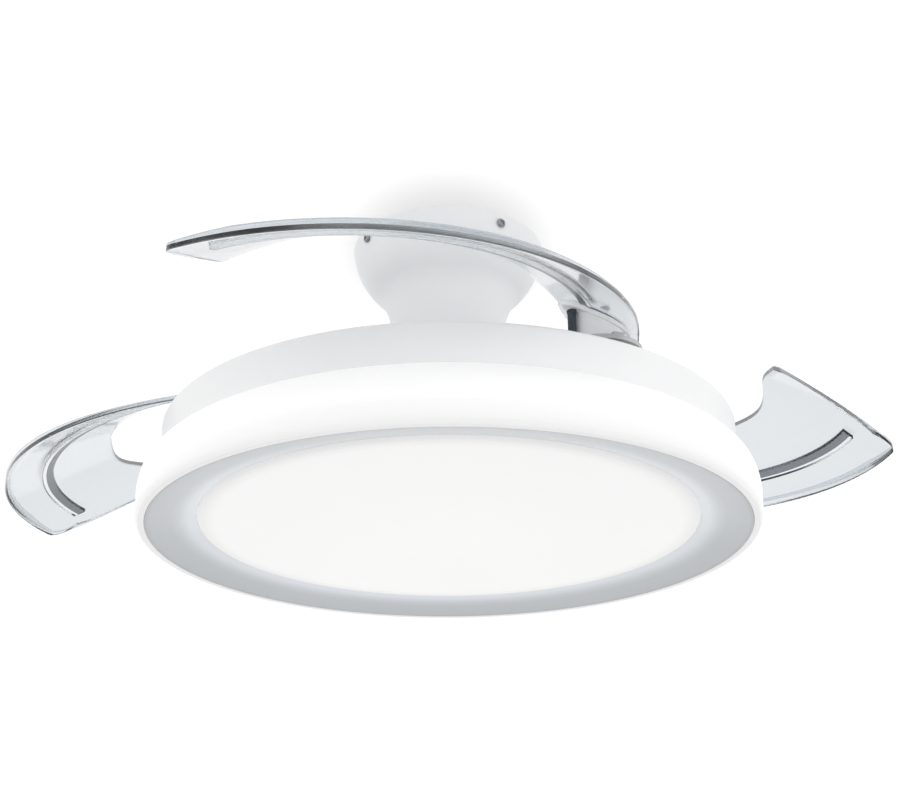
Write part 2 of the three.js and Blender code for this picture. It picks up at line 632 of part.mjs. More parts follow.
// The winding fills each slot and closes over the teeth above and below the core.
function makeWinding() {
  const inner = STATOR_HUB_RADIUS + WINDING_CLEARANCE;
  const outer = STATOR_RADIUS - STATOR_SHOE_DEPTH - 4 * WINDING_CLEARANCE;
  const half = STATOR_HEIGHT / 2 + GAP;
  const low = STATOR_MIDDLE - half - WINDING_OVERHANG;
  const high = STATOR_MIDDLE + half + WINDING_OVERHANG;
  const upper = ring(outer, inner, STATOR_MIDDLE + half, high, MEDIUM);
  const lower = ring(outer, inner, low, STATOR_MIDDLE - half, MEDIUM);
  const slotHalf = radians(180 / STATOR_TEETH);
  const slotStart = (STATOR_TOOTH_WIDTH / 2 + WINDING_CLEARANCE) / Math.sin(slotHalf) + WINDING_CLEARANCE;
  const legEnd = outer - WINDING_LEG_INSET;
  const widest = 2 * (legEnd * Math.tan(slotHalf) - STATOR_TOOTH_WIDTH / 2 - WINDING_CLEARANCE);
  const legs = aroundTeeth(() => {
    const from = Math.max(slotStart, inner + OVERLAP);
    const shape = new THREE.Shape([
      [from, -WINDING_LEG_TIP],
      [legEnd, -widest / 2],
      [legEnd, widest / 2],
      [from, WINDING_LEG_TIP],
    ].map(([x, y]) => new THREE.Vector2(x, y)));
    return plate(shape, low + OVERLAP, high - OVERLAP);
  }, 180 / STATOR_TEETH);
  return join(upper, lower, ...legs);
}

// ---- Blade carrier ------------------------------------------------------------------------------
const DISC_TOP = MOTOR_BOTTOM - GAP;
const DISC_BOTTOM = DISC_TOP - DISC_THICKNESS;

// A block that a blade's stop pin meets, at an angle about the hinge.
function stopBlock(angle) {
  const height = STOP_BLOCK_HEIGHT + OVERLAP;
  const block = box([STOP_BLOCK_LENGTH, STOP_BLOCK_WIDTH, height], STOP_PIN_DISTANCE, 0, 0);
  return block.rotateZ(radians(angle)).translate(HINGE_RADIUS, 0, DISC_TOP - OVERLAP + height / 2);
}

function makeDisc() {
  const disc = ring(DISC_RADIUS, MOTOR_HUB_RADIUS + GAP, DISC_BOTTOM, DISC_TOP);
  const armStart = DISC_RADIUS - DISC_ARM_OVERLAP;
  const arms = aroundBlades(() => box(
    [HINGE_RADIUS - armStart, 2 * DISC_ARM_HALF_WIDTH, DISC_THICKNESS],
    (HINGE_RADIUS + armStart) / 2,
    0,
    (DISC_TOP + DISC_BOTTOM) / 2,
  ));
  const ends = aroundBlades(() => rod(DISC_ARM_END_RADIUS, DISC_BOTTOM, DISC_TOP, HINGE_RADIUS, 0, MEDIUM));
  const closedBlocks = aroundBlades(() => stopBlock(STOP_CLOSED_ANGLE));
  const openBlocks = aroundBlades(() => stopBlock(STOP_OPEN_ANGLE));
  const windows = aroundBlades(() => rod(
    DISC_WINDOW_RADIUS,
    DISC_BOTTOM - OVERLAP,
    DISC_TOP + OVERLAP,
    DISC_WINDOW_DISTANCE,
  ));
  const screwHoles = aroundBlades(() => rod(
    DISC_SCREW_RADIUS + GAP,
    DISC_BOTTOM - OVERLAP,
    DISC_TOP + OVERLAP,
    DISC_SCREW_DISTANCE,
  ), BLADE_HALF_STEP);
  return cut(join(disc, ...arms, ...ends, ...closedBlocks, ...openBlocks), ...windows, ...screwHoles);
}

function makeDiscScrew() {
  const headTop = DISC_BOTTOM - GAP;
  const head = rod(DISC_SCREW_HEAD_RADIUS, headTop - DISC_SCREW_HEAD_HEIGHT, headTop, DISC_SCREW_DISTANCE);
  const shank = rod(DISC_SCREW_RADIUS, headTop - OVERLAP, MOTOR_BOTTOM + MOTOR_WALL, DISC_SCREW_DISTANCE);
  return join(head, shank);
}

function makePost() {
  const foot = DISC_TOP + GAP;
  const flange = rod(POST_FLANGE_RADIUS, foot, foot + POST_FLANGE_THICKNESS, HINGE_RADIUS);
  return join(flange, rod(POST_RADIUS, foot, POST_TOP, HINGE_RADIUS));
}

function makeCap() {
  const bottom = HUB_TOP + GAP;
  const cap = rod(CAP_RADIUS, bottom, CAP_TOP, HINGE_RADIUS);
  return cut(cap, rod(POST_RADIUS + GAP, bottom - OVERLAP, POST_TOP + GAP, HINGE_RADIUS));
}

// The return spring: one wire wound round the blade's hub.
function springPath() {
  const steps = SPRING_TURNS * SPRING_STEPS;
  const bottom = DISC_TOP + GAP + SPRING_WIRE_RADIUS;
  return Array.from({ length: steps + 1 }, (_, i) => {
    const angle = (i / SPRING_STEPS) * 2 * Math.PI;
    return new THREE.Vector3(
      HINGE_RADIUS + SPRING_COIL_RADIUS * Math.cos(angle),
      SPRING_COIL_RADIUS * Math.sin(angle),
      bottom + (SPRING_PITCH * i) / SPRING_STEPS,
    );
  });
}

function makeSpring() {
  const middle = new THREE.Vector3(HINGE_RADIUS, 0, 0);
  const loops = springPath().map((centre) => {
    const outward = centre.clone().sub(middle).setZ(0).normalize();
    return Array.from({ length: SPRING_SIDES }, (_, j) => {
      const angle = (j / SPRING_SIDES) * 2 * Math.PI;
      const point = centre.clone().addScaledVector(outward, SPRING_WIRE_RADIUS * Math.cos(angle));
      return point.setZ(point.z + SPRING_WIRE_RADIUS * Math.sin(angle));
    });
  });
  const outline = Array.from({ length: SPRING_SIDES }, (_, j) => {
    const angle = (j / SPRING_SIDES) * 2 * Math.PI;
    return new THREE.Vector2(Math.cos(angle), Math.sin(angle));
  });
  return loft(loops, outline);
}

const SPRING_GAP = SPRING_PITCH - 2 * SPRING_WIRE_RADIUS;
console.log(`return spring: least gap between turns ${SPRING_GAP.toFixed(2)} mm`);

// ---- Blades -------------------------------------------------------------------------------------
// A blade is laid out closed, round the fan's axis, with its hinge on +X. Its outer edge follows a
// circle from the root round to the tail, and its sheet climbs inwards from that edge.
const BLADE_SPAN = BLADE_TAIL_ANGLE - BLADE_ROOT_ANGLE;

function edgeHeight(angle) {
  const along = THREE.MathUtils.clamp((angle - BLADE_ROOT_ANGLE) / BLADE_SPAN, 0, 1);
  const straight = THREE.MathUtils.lerp(BLADE_ROOT_EDGE_Z, BLADE_TAIL_EDGE_Z, along);
  return straight - 4 * BLADE_EDGE_SAG * along * (1 - along);
}

// Height of the sheet's underside over the point (x, y).
function sheetHeight(x, y) {
  const angle = THREE.MathUtils.radToDeg(Math.atan2(y, x));
  return edgeHeight(angle) + BLADE_PITCH * (BLADE_OUTER_RADIUS - Math.hypot(x, y));
}

// Polar outline of the inner edge, root to tail: [azimuth in degrees, radius].
const BLADE_INNER_EDGE = [
  [BLADE_ROOT_ANGLE, HINGE_RADIUS - BLADE_EYE_RADIUS + OVERLAP],
  [-9, BLADE_OUTER_RADIUS - BLADE_ARM_WIDTH + 2],
  [-22, BLADE_OUTER_RADIUS - BLADE_ARM_WIDTH - 2],
  [-38, BLADE_OUTER_RADIUS - BLADE_ARM_WIDTH - 6],
  [-56, BLADE_OUTER_RADIUS - BLADE_MIDDLE_WIDTH + 8],
  [-74, BLADE_OUTER_RADIUS - BLADE_MIDDLE_WIDTH],
  [-94, BLADE_OUTER_RADIUS - BLADE_MIDDLE_WIDTH - 5],
  [-116, BLADE_OUTER_RADIUS - BLADE_WAIST_WIDTH],
  [BLADE_TAIL_ANGLE - BLADE_HOOK_ANGLE, BLADE_OUTER_RADIUS - BLADE_TIP_WIDTH],
];
const innerEdge = new THREE.SplineCurve(BLADE_INNER_EDGE.map((point) => new THREE.Vector2(...point)));
const CORNER_START = 1 - BLADE_CORNER_RADIUS / (BLADE_OUTER_RADIUS * radians(-BLADE_SPAN));

// Outer radius, drawn in round the outer corner of the tail.
function outerRadius(along) {
  const into = Math.max(0, (along - CORNER_START) / (1 - CORNER_START));
  return BLADE_OUTER_RADIUS - BLADE_CORNER_RADIUS * (1 - Math.sqrt(Math.max(0, 1 - into ** 2)));
}

// A point of the sheet: along runs from the root to the tail, across from the outer edge inwards.
function sheetPoint(along, across, lift, inset = 0) {
  const inner = innerEdge.getPoint(along);
  const outer = outerRadius(along) - inset;
  const outerAngle = BLADE_ROOT_ANGLE + BLADE_SPAN * along;
  const hook = (inner.x - outerAngle) * across ** BLADE_HOOK_POWER;
  const lagging = Math.max(0, (along - BLADE_LAG_START) / (1 - BLADE_LAG_START));
  const angle = radians(outerAngle + hook + BLADE_CORNER_LAG * lagging * (1 - across) ** 3);
  const radius = outer + (inner.y - outer) * across;
  const x = radius * Math.cos(angle);
  const y = radius * Math.sin(angle);
  return new THREE.Vector3(x, y, sheetHeight(x, y) + lift);
}

// The lengthwise stations, closer together round the tail's corner.
function bladeStations() {
  const body = Array.from({ length: BLADE_STATIONS }, (_, i) => (CORNER_START * i) / BLADE_STATIONS);
  const corner = Array.from({ length: BLADE_CORNER_STEPS + 1 }, (_, i) =>
    CORNER_START + (1 - CORNER_START) * Math.sin((i / BLADE_CORNER_STEPS) * (Math.PI / 2)));
  return [...body, ...corner];
}

function makeSheet() {
  const columns = Array.from({ length: BLADE_COLUMNS + 1 }, (_, j) => j / BLADE_COLUMNS);
  const loops = bladeStations().map((along) => {
    const under = columns.map((across) => sheetPoint(along, across, 0));
    const over = columns.slice(1).reverse().map((across) => sheetPoint(along, across, BLADE_THICKNESS));
    const foot = sheetPoint(along, 0, BLADE_THICKNESS, BLADE_EDGE_THICKNESS);
    const crest = sheetPoint(along, 0, BLADE_EDGE_HEIGHT, BLADE_EDGE_THICKNESS);
    const brow = sheetPoint(along, 0, BLADE_EDGE_HEIGHT);
    crest.z = brow.z;
    return [...under, ...over, foot, crest, brow];
  });
  const outline = [
    ...columns.map((across) => [across, 0]),
    ...columns.slice(1).reverse().map((across) => [across, 0.1]),
    [0.05, 0.1],
    [0.05, 0.3],
    [0, 0.3],
  ].map(([x, y]) => new THREE.Vector2(x, y));
  return loft(loops, outline);
}

// The long rib under the sheet, parallel to the outer edge.
function makeRib() {
  const steps = BLADE_STATIONS - 4;
  const across = [0, BLADE_RIB_WIDTH];
  const corners = [
    [across[0], -BLADE_RIB_DEPTH],
    [across[1], -BLADE_RIB_DEPTH],
    [across[1], OVERLAP],
    [across[0], OVERLAP],
  ];
  const loops = Array.from({ length: steps + 1 }, (_, i) => {
    const angle = radians(THREE.MathUtils.lerp(BLADE_RIB_ROOT_ANGLE, BLADE_RIB_TAIL_ANGLE, i / steps));
    return corners.map(([inwards, lift]) => {
      const radius = BLADE_RIB_OUTER_RADIUS - inwards;
      const x = radius * Math.cos(angle);
      const y = radius * Math.sin(angle);
      return new THREE.Vector3(x, y, sheetHeight(x, y) + lift);
    });
  });
  return loft(loops, corners.map(([x, y]) => new THREE.Vector2(x, y)));
}

// How far the blade's eye reaches in a direction about the hinge, as a multiple of its radius.
function eyeReach(angle) {
  const [across, along] = [Math.cos(angle), Math.sin(angle)];
  const power = across > 0 && along > 0 ? BLADE_EYE_SQUARENESS : 2;
  return (Math.abs(across) ** power + Math.abs(along) ** power) ** (-1 / power);
}

// A pad about the hinge whose faces follow the sheet, between two lifts above its underside.
function sheetPad(radius, low, high, reach = () => 1) {
  const rings = Array.from({ length: PAD_RINGS }, (_, i) => (radius * (i + 1)) / PAD_RINGS);
  const at = (distance, step, lift) => {
    const angle = (step / PAD_FACETS) * 2 * Math.PI;
    const x = HINGE_RADIUS + distance * reach(angle) * Math.cos(angle);
    const y = distance * reach(angle) * Math.sin(angle);
    return [x, y, sheetHeight(x, y) + lift];
  };
  const positions = [];
  [low, high].forEach((lift) => {
    positions.push(at(0, 0, lift));
    rings.forEach((distance) => {
      for (let step = 0; step < PAD_FACETS; step += 1) positions.push(at(distance, step, lift));
    });
  });
  const layer = 1 + PAD_RINGS * PAD_FACETS;
  const faces = [];
  for (let step = 0; step < PAD_FACETS; step += 1) {
    const next = (step + 1) % PAD_FACETS;
    faces.push(0, 1 + next, 1 + step, layer, layer + 1 + step, layer + 1 + next);
    for (let i = 0; i + 1 < PAD_RINGS; i += 1) {
      const [a, b] = [1 + i * PAD_FACETS + step, 1 + i * PAD_FACETS + next];
      faces.push(a, b, b + PAD_FACETS, a, b + PAD_FACETS, a + PAD_FACETS);
      const [e, f] = [layer + a, layer + b];
      faces.push(e, f + PAD_FACETS, f, e, e + PAD_FACETS, f + PAD_FACETS);
    }
    const [c, d] = [1 + (PAD_RINGS - 1) * PAD_FACETS + step, 1 + (PAD_RINGS - 1) * PAD_FACETS + next];
    faces.push(c, d, layer + d, c, layer + d, layer + c);
  }
  const geometry = new THREE.BufferGeometry();
  geometry.setAttribute('position', new THREE.BufferAttribute(new Float32Array(positions.flat()), 3));
  geometry.setIndex(faces);
  return facingOut(geometry);
}

const CLAMP_SCREW_X = HINGE_RADIUS + CLAMP_SCREW_DISTANCE * Math.cos(radians(CLAMP_SCREW_ANGLE));
const CLAMP_SCREW_Y = CLAMP_SCREW_DISTANCE * Math.sin(radians(CLAMP_SCREW_ANGLE));
const STOP_PIN_X = HINGE_RADIUS + STOP_PIN_DISTANCE * Math.cos(radians(STOP_PIN_ANGLE));
const STOP_PIN_Y = STOP_PIN_DISTANCE * Math.sin(radians(STOP_PIN_ANGLE));
const UPPER_CLAMP_LIFT = BLADE_THICKNESS + CLAMP_GAP;

function screwHole() {
  return rod(CLAMP_SCREW_RADIUS + GAP, BLADE_TAIL_EDGE_Z, CAP_TOP, CLAMP_SCREW_X, CLAMP_SCREW_Y);
}

function makeBlade() {
  const bore = rod(HUB_RADIUS + GAP, BLADE_TAIL_EDGE_Z, CAP_TOP, HINGE_RADIUS);
  const eye = sheetPad(BLADE_EYE_RADIUS, 0, BLADE_THICKNESS, eyeReach);
  return cut(join(makeSheet(), eye, makeRib()), bore, screwHole());
}

// How far the lower clamp reaches in a direction about the hinge, as a multiple of its radius.
function clampReach(angle) {
  const off = Math.abs(THREE.MathUtils.radToDeg(angle) - STOP_PIN_ANGLE);
  return off < 360 / PAD_FACETS ? 1 + CLAMP_EAR_REACH / LOWER_CLAMP_RADIUS : 1;
}

function makeHub() {
  const underside = -CLAMP_GAP - LOWER_CLAMP_THICKNESS;
  const pad = sheetPad(LOWER_CLAMP_RADIUS, underside, -CLAMP_GAP, clampReach);
  const hub = rod(HUB_RADIUS, DISC_TOP + GAP + POST_FLANGE_THICKNESS + GAP, HUB_TOP, HINGE_RADIUS);
  const bore = rod(roomAround(POST_RADIUS, FINE), DISC_BOTTOM, HUB_TOP + OVERLAP, HINGE_RADIUS);
  return cut(join(pad, hub, makeSkirt(underside + LOWER_CLAMP_THICKNESS / 2)), bore, screwHole());
}

// A round wall about the hinge, from just above the stop blocks up to this lift from the sheet.
function makeSkirt(lift) {
  const low = DISC_TOP + STOP_BLOCK_HEIGHT + SKIRT_LIFT;
  const wall = rod(SKIRT_RADIUS, low, HUB_TOP, HINGE_RADIUS, 0, MEDIUM);
  const inside = rod(SKIRT_RADIUS - SKIRT_WALL, low - OVERLAP, HUB_TOP + OVERLAP, HINGE_RADIUS, 0, MEDIUM);
  return cut(wall, inside, sheetPad(SKIRT_RADIUS + OVERLAP, lift, BLADE_EYE_RADIUS + SKIRT_RADIUS));
}

function makeUpperClamp() {
  const pad = sheetPad(UPPER_CLAMP_RADIUS, UPPER_CLAMP_LIFT, UPPER_CLAMP_LIFT + UPPER_CLAMP_THICKNESS);
  const bore = rod(HUB_RADIUS + GAP, BLADE_TAIL_EDGE_Z, CAP_TOP, HINGE_RADIUS);
  return cut(pad, bore, screwHole());
}

function makeClampScrew() {
  const surface = sheetHeight(CLAMP_SCREW_X, CLAMP_SCREW_Y);
  const rise = BLADE_PITCH * CLAMP_SCREW_HEAD_RADIUS;
  const seat = surface + UPPER_CLAMP_LIFT + UPPER_CLAMP_THICKNESS + rise + GAP;
  const headTop = seat + CLAMP_SCREW_HEAD_HEIGHT;
  const head = rod(CLAMP_SCREW_HEAD_RADIUS, seat, headTop, CLAMP_SCREW_X, CLAMP_SCREW_Y);
  const end = surface - LOWER_CLAMP_THICKNESS;
  return join(head, rod(CLAMP_SCREW_RADIUS, end, seat + OVERLAP, CLAMP_SCREW_X, CLAMP_SCREW_Y));
}

function makeStopPin() {
  const sheet = sheetHeight(STOP_PIN_X + STOP_PIN_RADIUS, STOP_PIN_Y);
  const top = sheet - LOWER_CLAMP_THICKNESS - CLAMP_GAP - GAP;
  return rod(STOP_PIN_RADIUS, DISC_TOP + STOP_PIN_LIFT, top, STOP_PIN_X, STOP_PIN_Y);
}

// ---- Drum lamp ----------------------------------------------------------------------------------
const RING_SEAT = DRUM_CREASE - GAP;

function makeDrum() {
  const shell = turned([
    [SHAFT_RADIUS + GAP, DRUM_TOP - DRUM_WALL],
    [DRUM_RADIUS - DRUM_WALL, DRUM_TOP - DRUM_WALL],
    [DRUM_CREASE_RADIUS - DRUM_WALL, DRUM_CREASE],
    [DRUM_CREASE_RADIUS, DRUM_CREASE],
    [DRUM_RADIUS, DRUM_TOP - DRUM_EDGE_RADIUS],
    [DRUM_RADIUS - DRUM_EDGE_RADIUS * DRUM_EDGE_MIDDLE, DRUM_TOP - DRUM_EDGE_RADIUS * DRUM_EDGE_MIDDLE],
    [DRUM_RADIUS - DRUM_EDGE_RADIUS, DRUM_TOP],
    [SHAFT_RADIUS + GAP, DRUM_TOP],
  ]);
  const bosses = aroundBosses(() => rod(
    DRUM_BOSS_RADIUS,
    PAN_Z + GAP,
    DRUM_TOP - DRUM_WALL / 2,
    DRUM_BOSS_DISTANCE,
  ));
  const bores = aroundBosses(() => rod(
    PAN_SCREW_RADIUS + GAP,
    PAN_Z - OVERLAP,
    PAN_Z + PAN_SCREW_LENGTH + OVERLAP,
    DRUM_BOSS_DISTANCE,
  ));
  return cut(join(shell, ...bosses), ...bores);
}

function bossTurn(i) {
  return radians(DRUM_BOSS_AZIMUTH + (i * 360) / DRUM_BOSS_COUNT);
}

function aroundBosses(make) {
  return Array.from({ length: DRUM_BOSS_COUNT }, (_, i) => make().rotateZ(bossTurn(i)));
}

function makeGlowRing() {
  const swell = bezier(
    [DRUM_CREASE_RADIUS, RING_SEAT],
    [RING_RADIUS - RING_TOP_REACH, RING_SEAT - RING_TOP_REACH / 2],
    [RING_RADIUS, RING_SWELL_Z + RING_SIDE_RISE],
    [RING_RADIUS, RING_SWELL_Z],
    RING_STEPS,
  );
  const inside = swell.map(([radius, z]) => [radius - RING_WALL, z]).reverse();
  return turned([
    ...inside,
    ...swell,
    [RING_RADIUS - RING_FOOT_DRAFT, RING_BOTTOM + RING_FOOT_RISE],
    [RING_RADIUS - RING_FOOT_RADIUS, RING_BOTTOM],
    [RING_LIP_RADIUS, RING_BOTTOM],
    [RING_LIP_RADIUS, RING_BOTTOM + RING_WALL],
    [RING_RADIUS - RING_WALL - RING_FOOT_DRAFT, RING_BOTTOM + RING_WALL],
  ]);
}

function makeTrim() {
  const outer = RING_LIP_RADIUS - GAP;
  const inner = TRIM_INNER_RADIUS;
  const shelf = RING_BOTTOM + RING_WALL + GAP;
  const innerTop = TRIM_INNER_Z + TRIM_THICKNESS + TRIM_INNER_STEP;
  return turned([
    [inner, TRIM_INNER_Z],
    [outer, RING_BOTTOM + TRIM_RISE],
    [outer, shelf],
    [outer + TRIM_SHELF_WIDTH, shelf],
    [outer + TRIM_SHELF_WIDTH, shelf + TRIM_THICKNESS],
    [outer - TRIM_INNER_STEP, shelf + TRIM_THICKNESS],
    [inner + 2 * TRIM_INNER_STEP, innerTop],
    [inner, innerTop],
  ]);
}

function makeDiffuser() {
  const border = TRIM_INNER_Z + TRIM_THICKNESS + TRIM_INNER_STEP + GAP;
  const face = border - DIFFUSER_DROP;
  const dish = TRIM_INNER_RADIUS - GAP;
  return turned([
    [0, face],
    [DIFFUSER_FACE_RADIUS, face],
    [dish - DIFFUSER_EDGE_WIDTH, face + DIFFUSER_EDGE_RISE],
    [dish, border - DIFFUSER_EDGE_WIDTH],
    [dish, border],
    [DIFFUSER_RADIUS, border],
    [DIFFUSER_RADIUS, border + DIFFUSER_THICKNESS],
    [dish - DIFFUSER_THICKNESS, border + DIFFUSER_THICKNESS],
    [DIFFUSER_FACE_RADIUS - DIFFUSER_EDGE_WIDTH, face + DIFFUSER_THICKNESS],
    [0, face + DIFFUSER_THICKNESS],
  ]);
}

function makePan() {
  const outline = [
    [PAN_BORE, PAN_Z - PAN_THICKNESS],
    [PAN_RADIUS - PAN_THICKNESS, PAN_Z - PAN_THICKNESS],
    [PAN_RADIUS - PAN_THICKNESS, PAN_Z - PAN_RIM_DROP],
    [PAN_RADIUS, PAN_Z - PAN_RIM_DROP],
    [PAN_RADIUS, PAN_Z],
    [PAN_BORE, PAN_Z],
  ];
  return cut(turned(outline), ...aroundBosses(() => rod(
    PAN_SCREW_RADIUS + GAP,
    PAN_Z - PAN_THICKNESS - OVERLAP,
    PAN_Z + OVERLAP,
    DRUM_BOSS_DISTANCE,
  )));
}

function makePanScrew() {
  const seat = PAN_Z - PAN_THICKNESS - GAP;
  const head = rod(PAN_SCREW_HEAD_RADIUS, seat - PAN_SCREW_HEAD_HEIGHT, seat, DRUM_BOSS_DISTANCE);
  return join(head, rod(PAN_SCREW_RADIUS, seat - OVERLAP, PAN_Z + PAN_SCREW_LENGTH, DRUM_BOSS_DISTANCE));
}

function makeDriver() {
  return box(DRIVER_SIZE, DRIVER_X, 0, PAN_Z + GAP + DRIVER_SIZE[2] / 2);
}

function makeMainBoard() {
  const top = PAN_Z - PAN_THICKNESS - GAP;
  const board = ring(MAIN_BOARD_RADIUS, MAIN_BOARD_BORE, top - BOARD_THICKNESS, top);
  const leds = Array.from({ length: LED_COUNT }, (_, i) => {
    const chip = box([LED_SIZE[0], LED_SIZE[1], 2 * LED_SIZE[2]], 0, 0, top - BOARD_THICKNESS);
    const distance = LED_DISTANCES[i % LED_DISTANCES.length];
    return chip.translate(distance, 0, 0).rotateZ(radians((i * 360) / LED_COUNT));
  });
  return join(board, ...leds);
}

function makeStripBoard() {
  const inner = PAN_RADIUS + GAP;
  const top = PAN_Z - STRIP_DROP;
  return ring(inner + BOARD_THICKNESS, inner, top - STRIP_HEIGHT, top);
}

// ---- Assembly -----------------------------------------------------------------------------------
const fan = new THREE.Group();

fan.add(named('ceiling_bracket', makeBracket(), galvanised));
fan.add(named('hanger_tube', makeHanger(), galvanised));
const crossPin = crossPinRod(CROSS_PIN_RADIUS, HANGER_RADIUS + CROSS_PIN_OVERHANG);
fan.add(named('hanger_cross_pin', crossPin, brightSteel));
fan.add(named('receiver_box', makeReceiver(), boxPlastic));
fan.add(named('terminal_block', makeTerminal(), boxPlastic));
fan.add(named('canopy', makeCanopy(), whitePaint));
for (let i = 0; i < CANOPY_SCREW_COUNT; i += 1) {
  const screw = named(`canopy_screw_${i + 1}`, makeCanopyScrew(), brightSteel);
  screw.rotation.z = radians(CANOPY_SCREW_AZIMUTH + (i * 360) / CANOPY_SCREW_COUNT);
  fan.add(screw);
}

fan.add(named('hollow_shaft', makeShaft(), brightSteel));
fan.add(named('shaft_nut', makeShaftNut(), brightSteel));
fan.add(named('stator_core', makeStatorCore(), laminations));
fan.add(named('stator_winding', makeWinding(), copperEnamel));
fan.add(named('upper_bearing_inner_race', innerRace(UPPER_BEARING_TOP - BEARING_WIDTH), brightSteel));
fan.add(named('lower_bearing_inner_race', innerRace(LOWER_BEARING_BOTTOM), brightSteel));

fan.add(named('drum_shell', makeDrum(), whitePlastic));
fan.add(named('light_pan', makePan(), whitePaint));
fan.add(named('led_driver', makeDriver(), boxPlastic));
fan.add(named('main_led_board', makeMainBoard(), boardWhite));
fan.add(named('ring_led_strip', makeStripBoard(), boardWhite));
fan.add(named('glow_ring', makeGlowRing(), opalPlastic));
fan.add(named('inner_trim', makeTrim(), greyTrim));
fan.add(named('diffuser', makeDiffuser(), opalPlastic));
for (let i = 0; i < DRUM_BOSS_COUNT; i += 1) {
  const screw = named(`pan_screw_${i + 1}`, makePanScrew(), brightSteel);
  screw.rotation.z = bossTurn(i);
  fan.add(screw);
}

const rotor = new THREE.Group();
rotor.rotation.z = radians(HINGE_AZIMUTH);
fan.add(rotor);
rotor.add(named('rotor_housing', makeHousing(), castAluminium));
rotor.add(named('rotor_cover', makeRotorCover(), castAluminium));
rotor.add(named('magnet_ring', makeMagnet(), magnetGrey));
rotor.add(named('upper_bearing_outer_race', outerRace(UPPER_BEARING_TOP - BEARING_WIDTH), brightSteel));
rotor.add(named('lower_bearing_outer_race', outerRace(LOWER_BEARING_BOTTOM), brightSteel));
rotor.add(named('blade_disc', makeDisc(), castAluminium));

for (let i = 0; i < BLADE_COUNT; i += 1) {
  const number = i + 1;
  const station = new THREE.Group();
  station.rotation.z = (i * 2 * Math.PI) / BLADE_COUNT;
  rotor.add(station);
  const screw = named(`disc_screw_${number}`, makeDiscScrew(), brightSteel);
  screw.rotation.z = radians(BLADE_HALF_STEP);
  station.add(screw);
  station.add(named(`hinge_post_${number}`, makePost(), brightSteel));
  station.add(named(`hinge_cap_${number}`, makeCap(), whitePlastic));
  station.add(named(`return_spring_${number}`, makeSpring(), springSteel));

  // Everything that swings with the blade turns about the hinge.
  const swing = new THREE.Group();
  swing.position.x = HINGE_RADIUS;
  swing.rotation.z = radians(OPENING_AT_REST[i]);
  station.add(swing);
  const swinging = new THREE.Group();
  swinging.position.x = -HINGE_RADIUS;
  swing.add(swinging);
  swinging.add(named(`blade_${number}`, makeBlade(), clearPlastic));
  swinging.add(named(`blade_hub_${number}`, makeHub(), whitePlastic));
  swinging.add(named(`upper_clamp_${number}`, makeUpperClamp(), whitePlastic));
  swinging.add(named(`clamp_screw_${number}`, makeClampScrew(), brightSteel));
  swinging.add(named(`stop_pin_${number}`, makeStopPin(), blackRubber));
}

export default fan;
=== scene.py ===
"""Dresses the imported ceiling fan: finished pieces, materials, a plain stage and the camera.

All lengths are in metres in the part's own frame: the ceiling is at height 0, the fan below it.
"""
import math

import bmesh
import bpy
from mathutils import Matrix, Vector


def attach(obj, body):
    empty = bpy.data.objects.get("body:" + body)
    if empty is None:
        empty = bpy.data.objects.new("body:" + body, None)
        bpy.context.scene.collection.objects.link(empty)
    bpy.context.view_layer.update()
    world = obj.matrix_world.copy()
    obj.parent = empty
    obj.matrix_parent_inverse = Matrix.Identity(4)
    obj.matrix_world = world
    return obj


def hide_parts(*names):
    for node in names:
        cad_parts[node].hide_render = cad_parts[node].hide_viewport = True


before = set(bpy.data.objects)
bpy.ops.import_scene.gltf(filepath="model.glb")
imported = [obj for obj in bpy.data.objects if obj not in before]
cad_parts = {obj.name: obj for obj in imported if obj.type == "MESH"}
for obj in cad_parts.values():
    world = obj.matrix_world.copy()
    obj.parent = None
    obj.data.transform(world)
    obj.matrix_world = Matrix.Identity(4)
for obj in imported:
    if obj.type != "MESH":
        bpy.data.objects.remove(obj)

bl_info = {
    "name": "Folding Blade Ceiling Fan",
    "version": (1, 0, 0),
    "blender": (4, 5, 0),
    "location": "3D View > Sidebar > Ceiling fan",
    "description": "Makes a ceiling fan with folding clear blades and a drum lamp",
    "category": "Object",
}

MM = 0.001
TURN = 2 * math.pi
WELD = 0.00001  # points closer than this become one
GAP = 0.3 * MM  # between pieces that fit together
STRAIGHT = math.radians(165)  # a corner opener than this is left as it is
SMOOTH_ANGLE = math.radians(38)
BLADES = 3
CANOPY_SCREWS = 4
PAN_SCREWS = 3
PAN_SCREW_AZIMUTH = math.radians(30)
GROOVES = 5  # round the motor
SCREW_HOLE = 2.3 * MM  # radius of a hole that a screw passes through
RIM_HOLE_SPAN = (0.07, 0.09)  # how far from the axis the holes in the canopy's rim are cut
HINGE_SPAN = (-0.19, -0.11)  # heights between which a cut passes right through a hinge
CROSS_PIN = -64 * MM  # height of the cross pin
DRUM_TOP_RINGS = (0.18, 0.1)  # radii of the rings that divide the drum's flat top

# The blade's inner edge as (direction in degrees, radius in mm), and the radius of its tip.
INNER_EDGE = (
    (0, 162), (-9, 153.5), (-22, 149.5), (-38, 145.5), (-56, 137.5), (-74, 129.5),
    (-94, 124.5), (-116, 109),
)
INNER_TIP = 115.5
EYE_RIB = (0.48, 0.66)  # where the rib's lines run on through the eye, as shares of its width
RIB_MIDDLE = 0.38  # where the rib's painted highlight ends and its painted shade starts
EAR_SIDES = (math.radians(38), math.radians(12))  # where the clamp's ear starts and is full
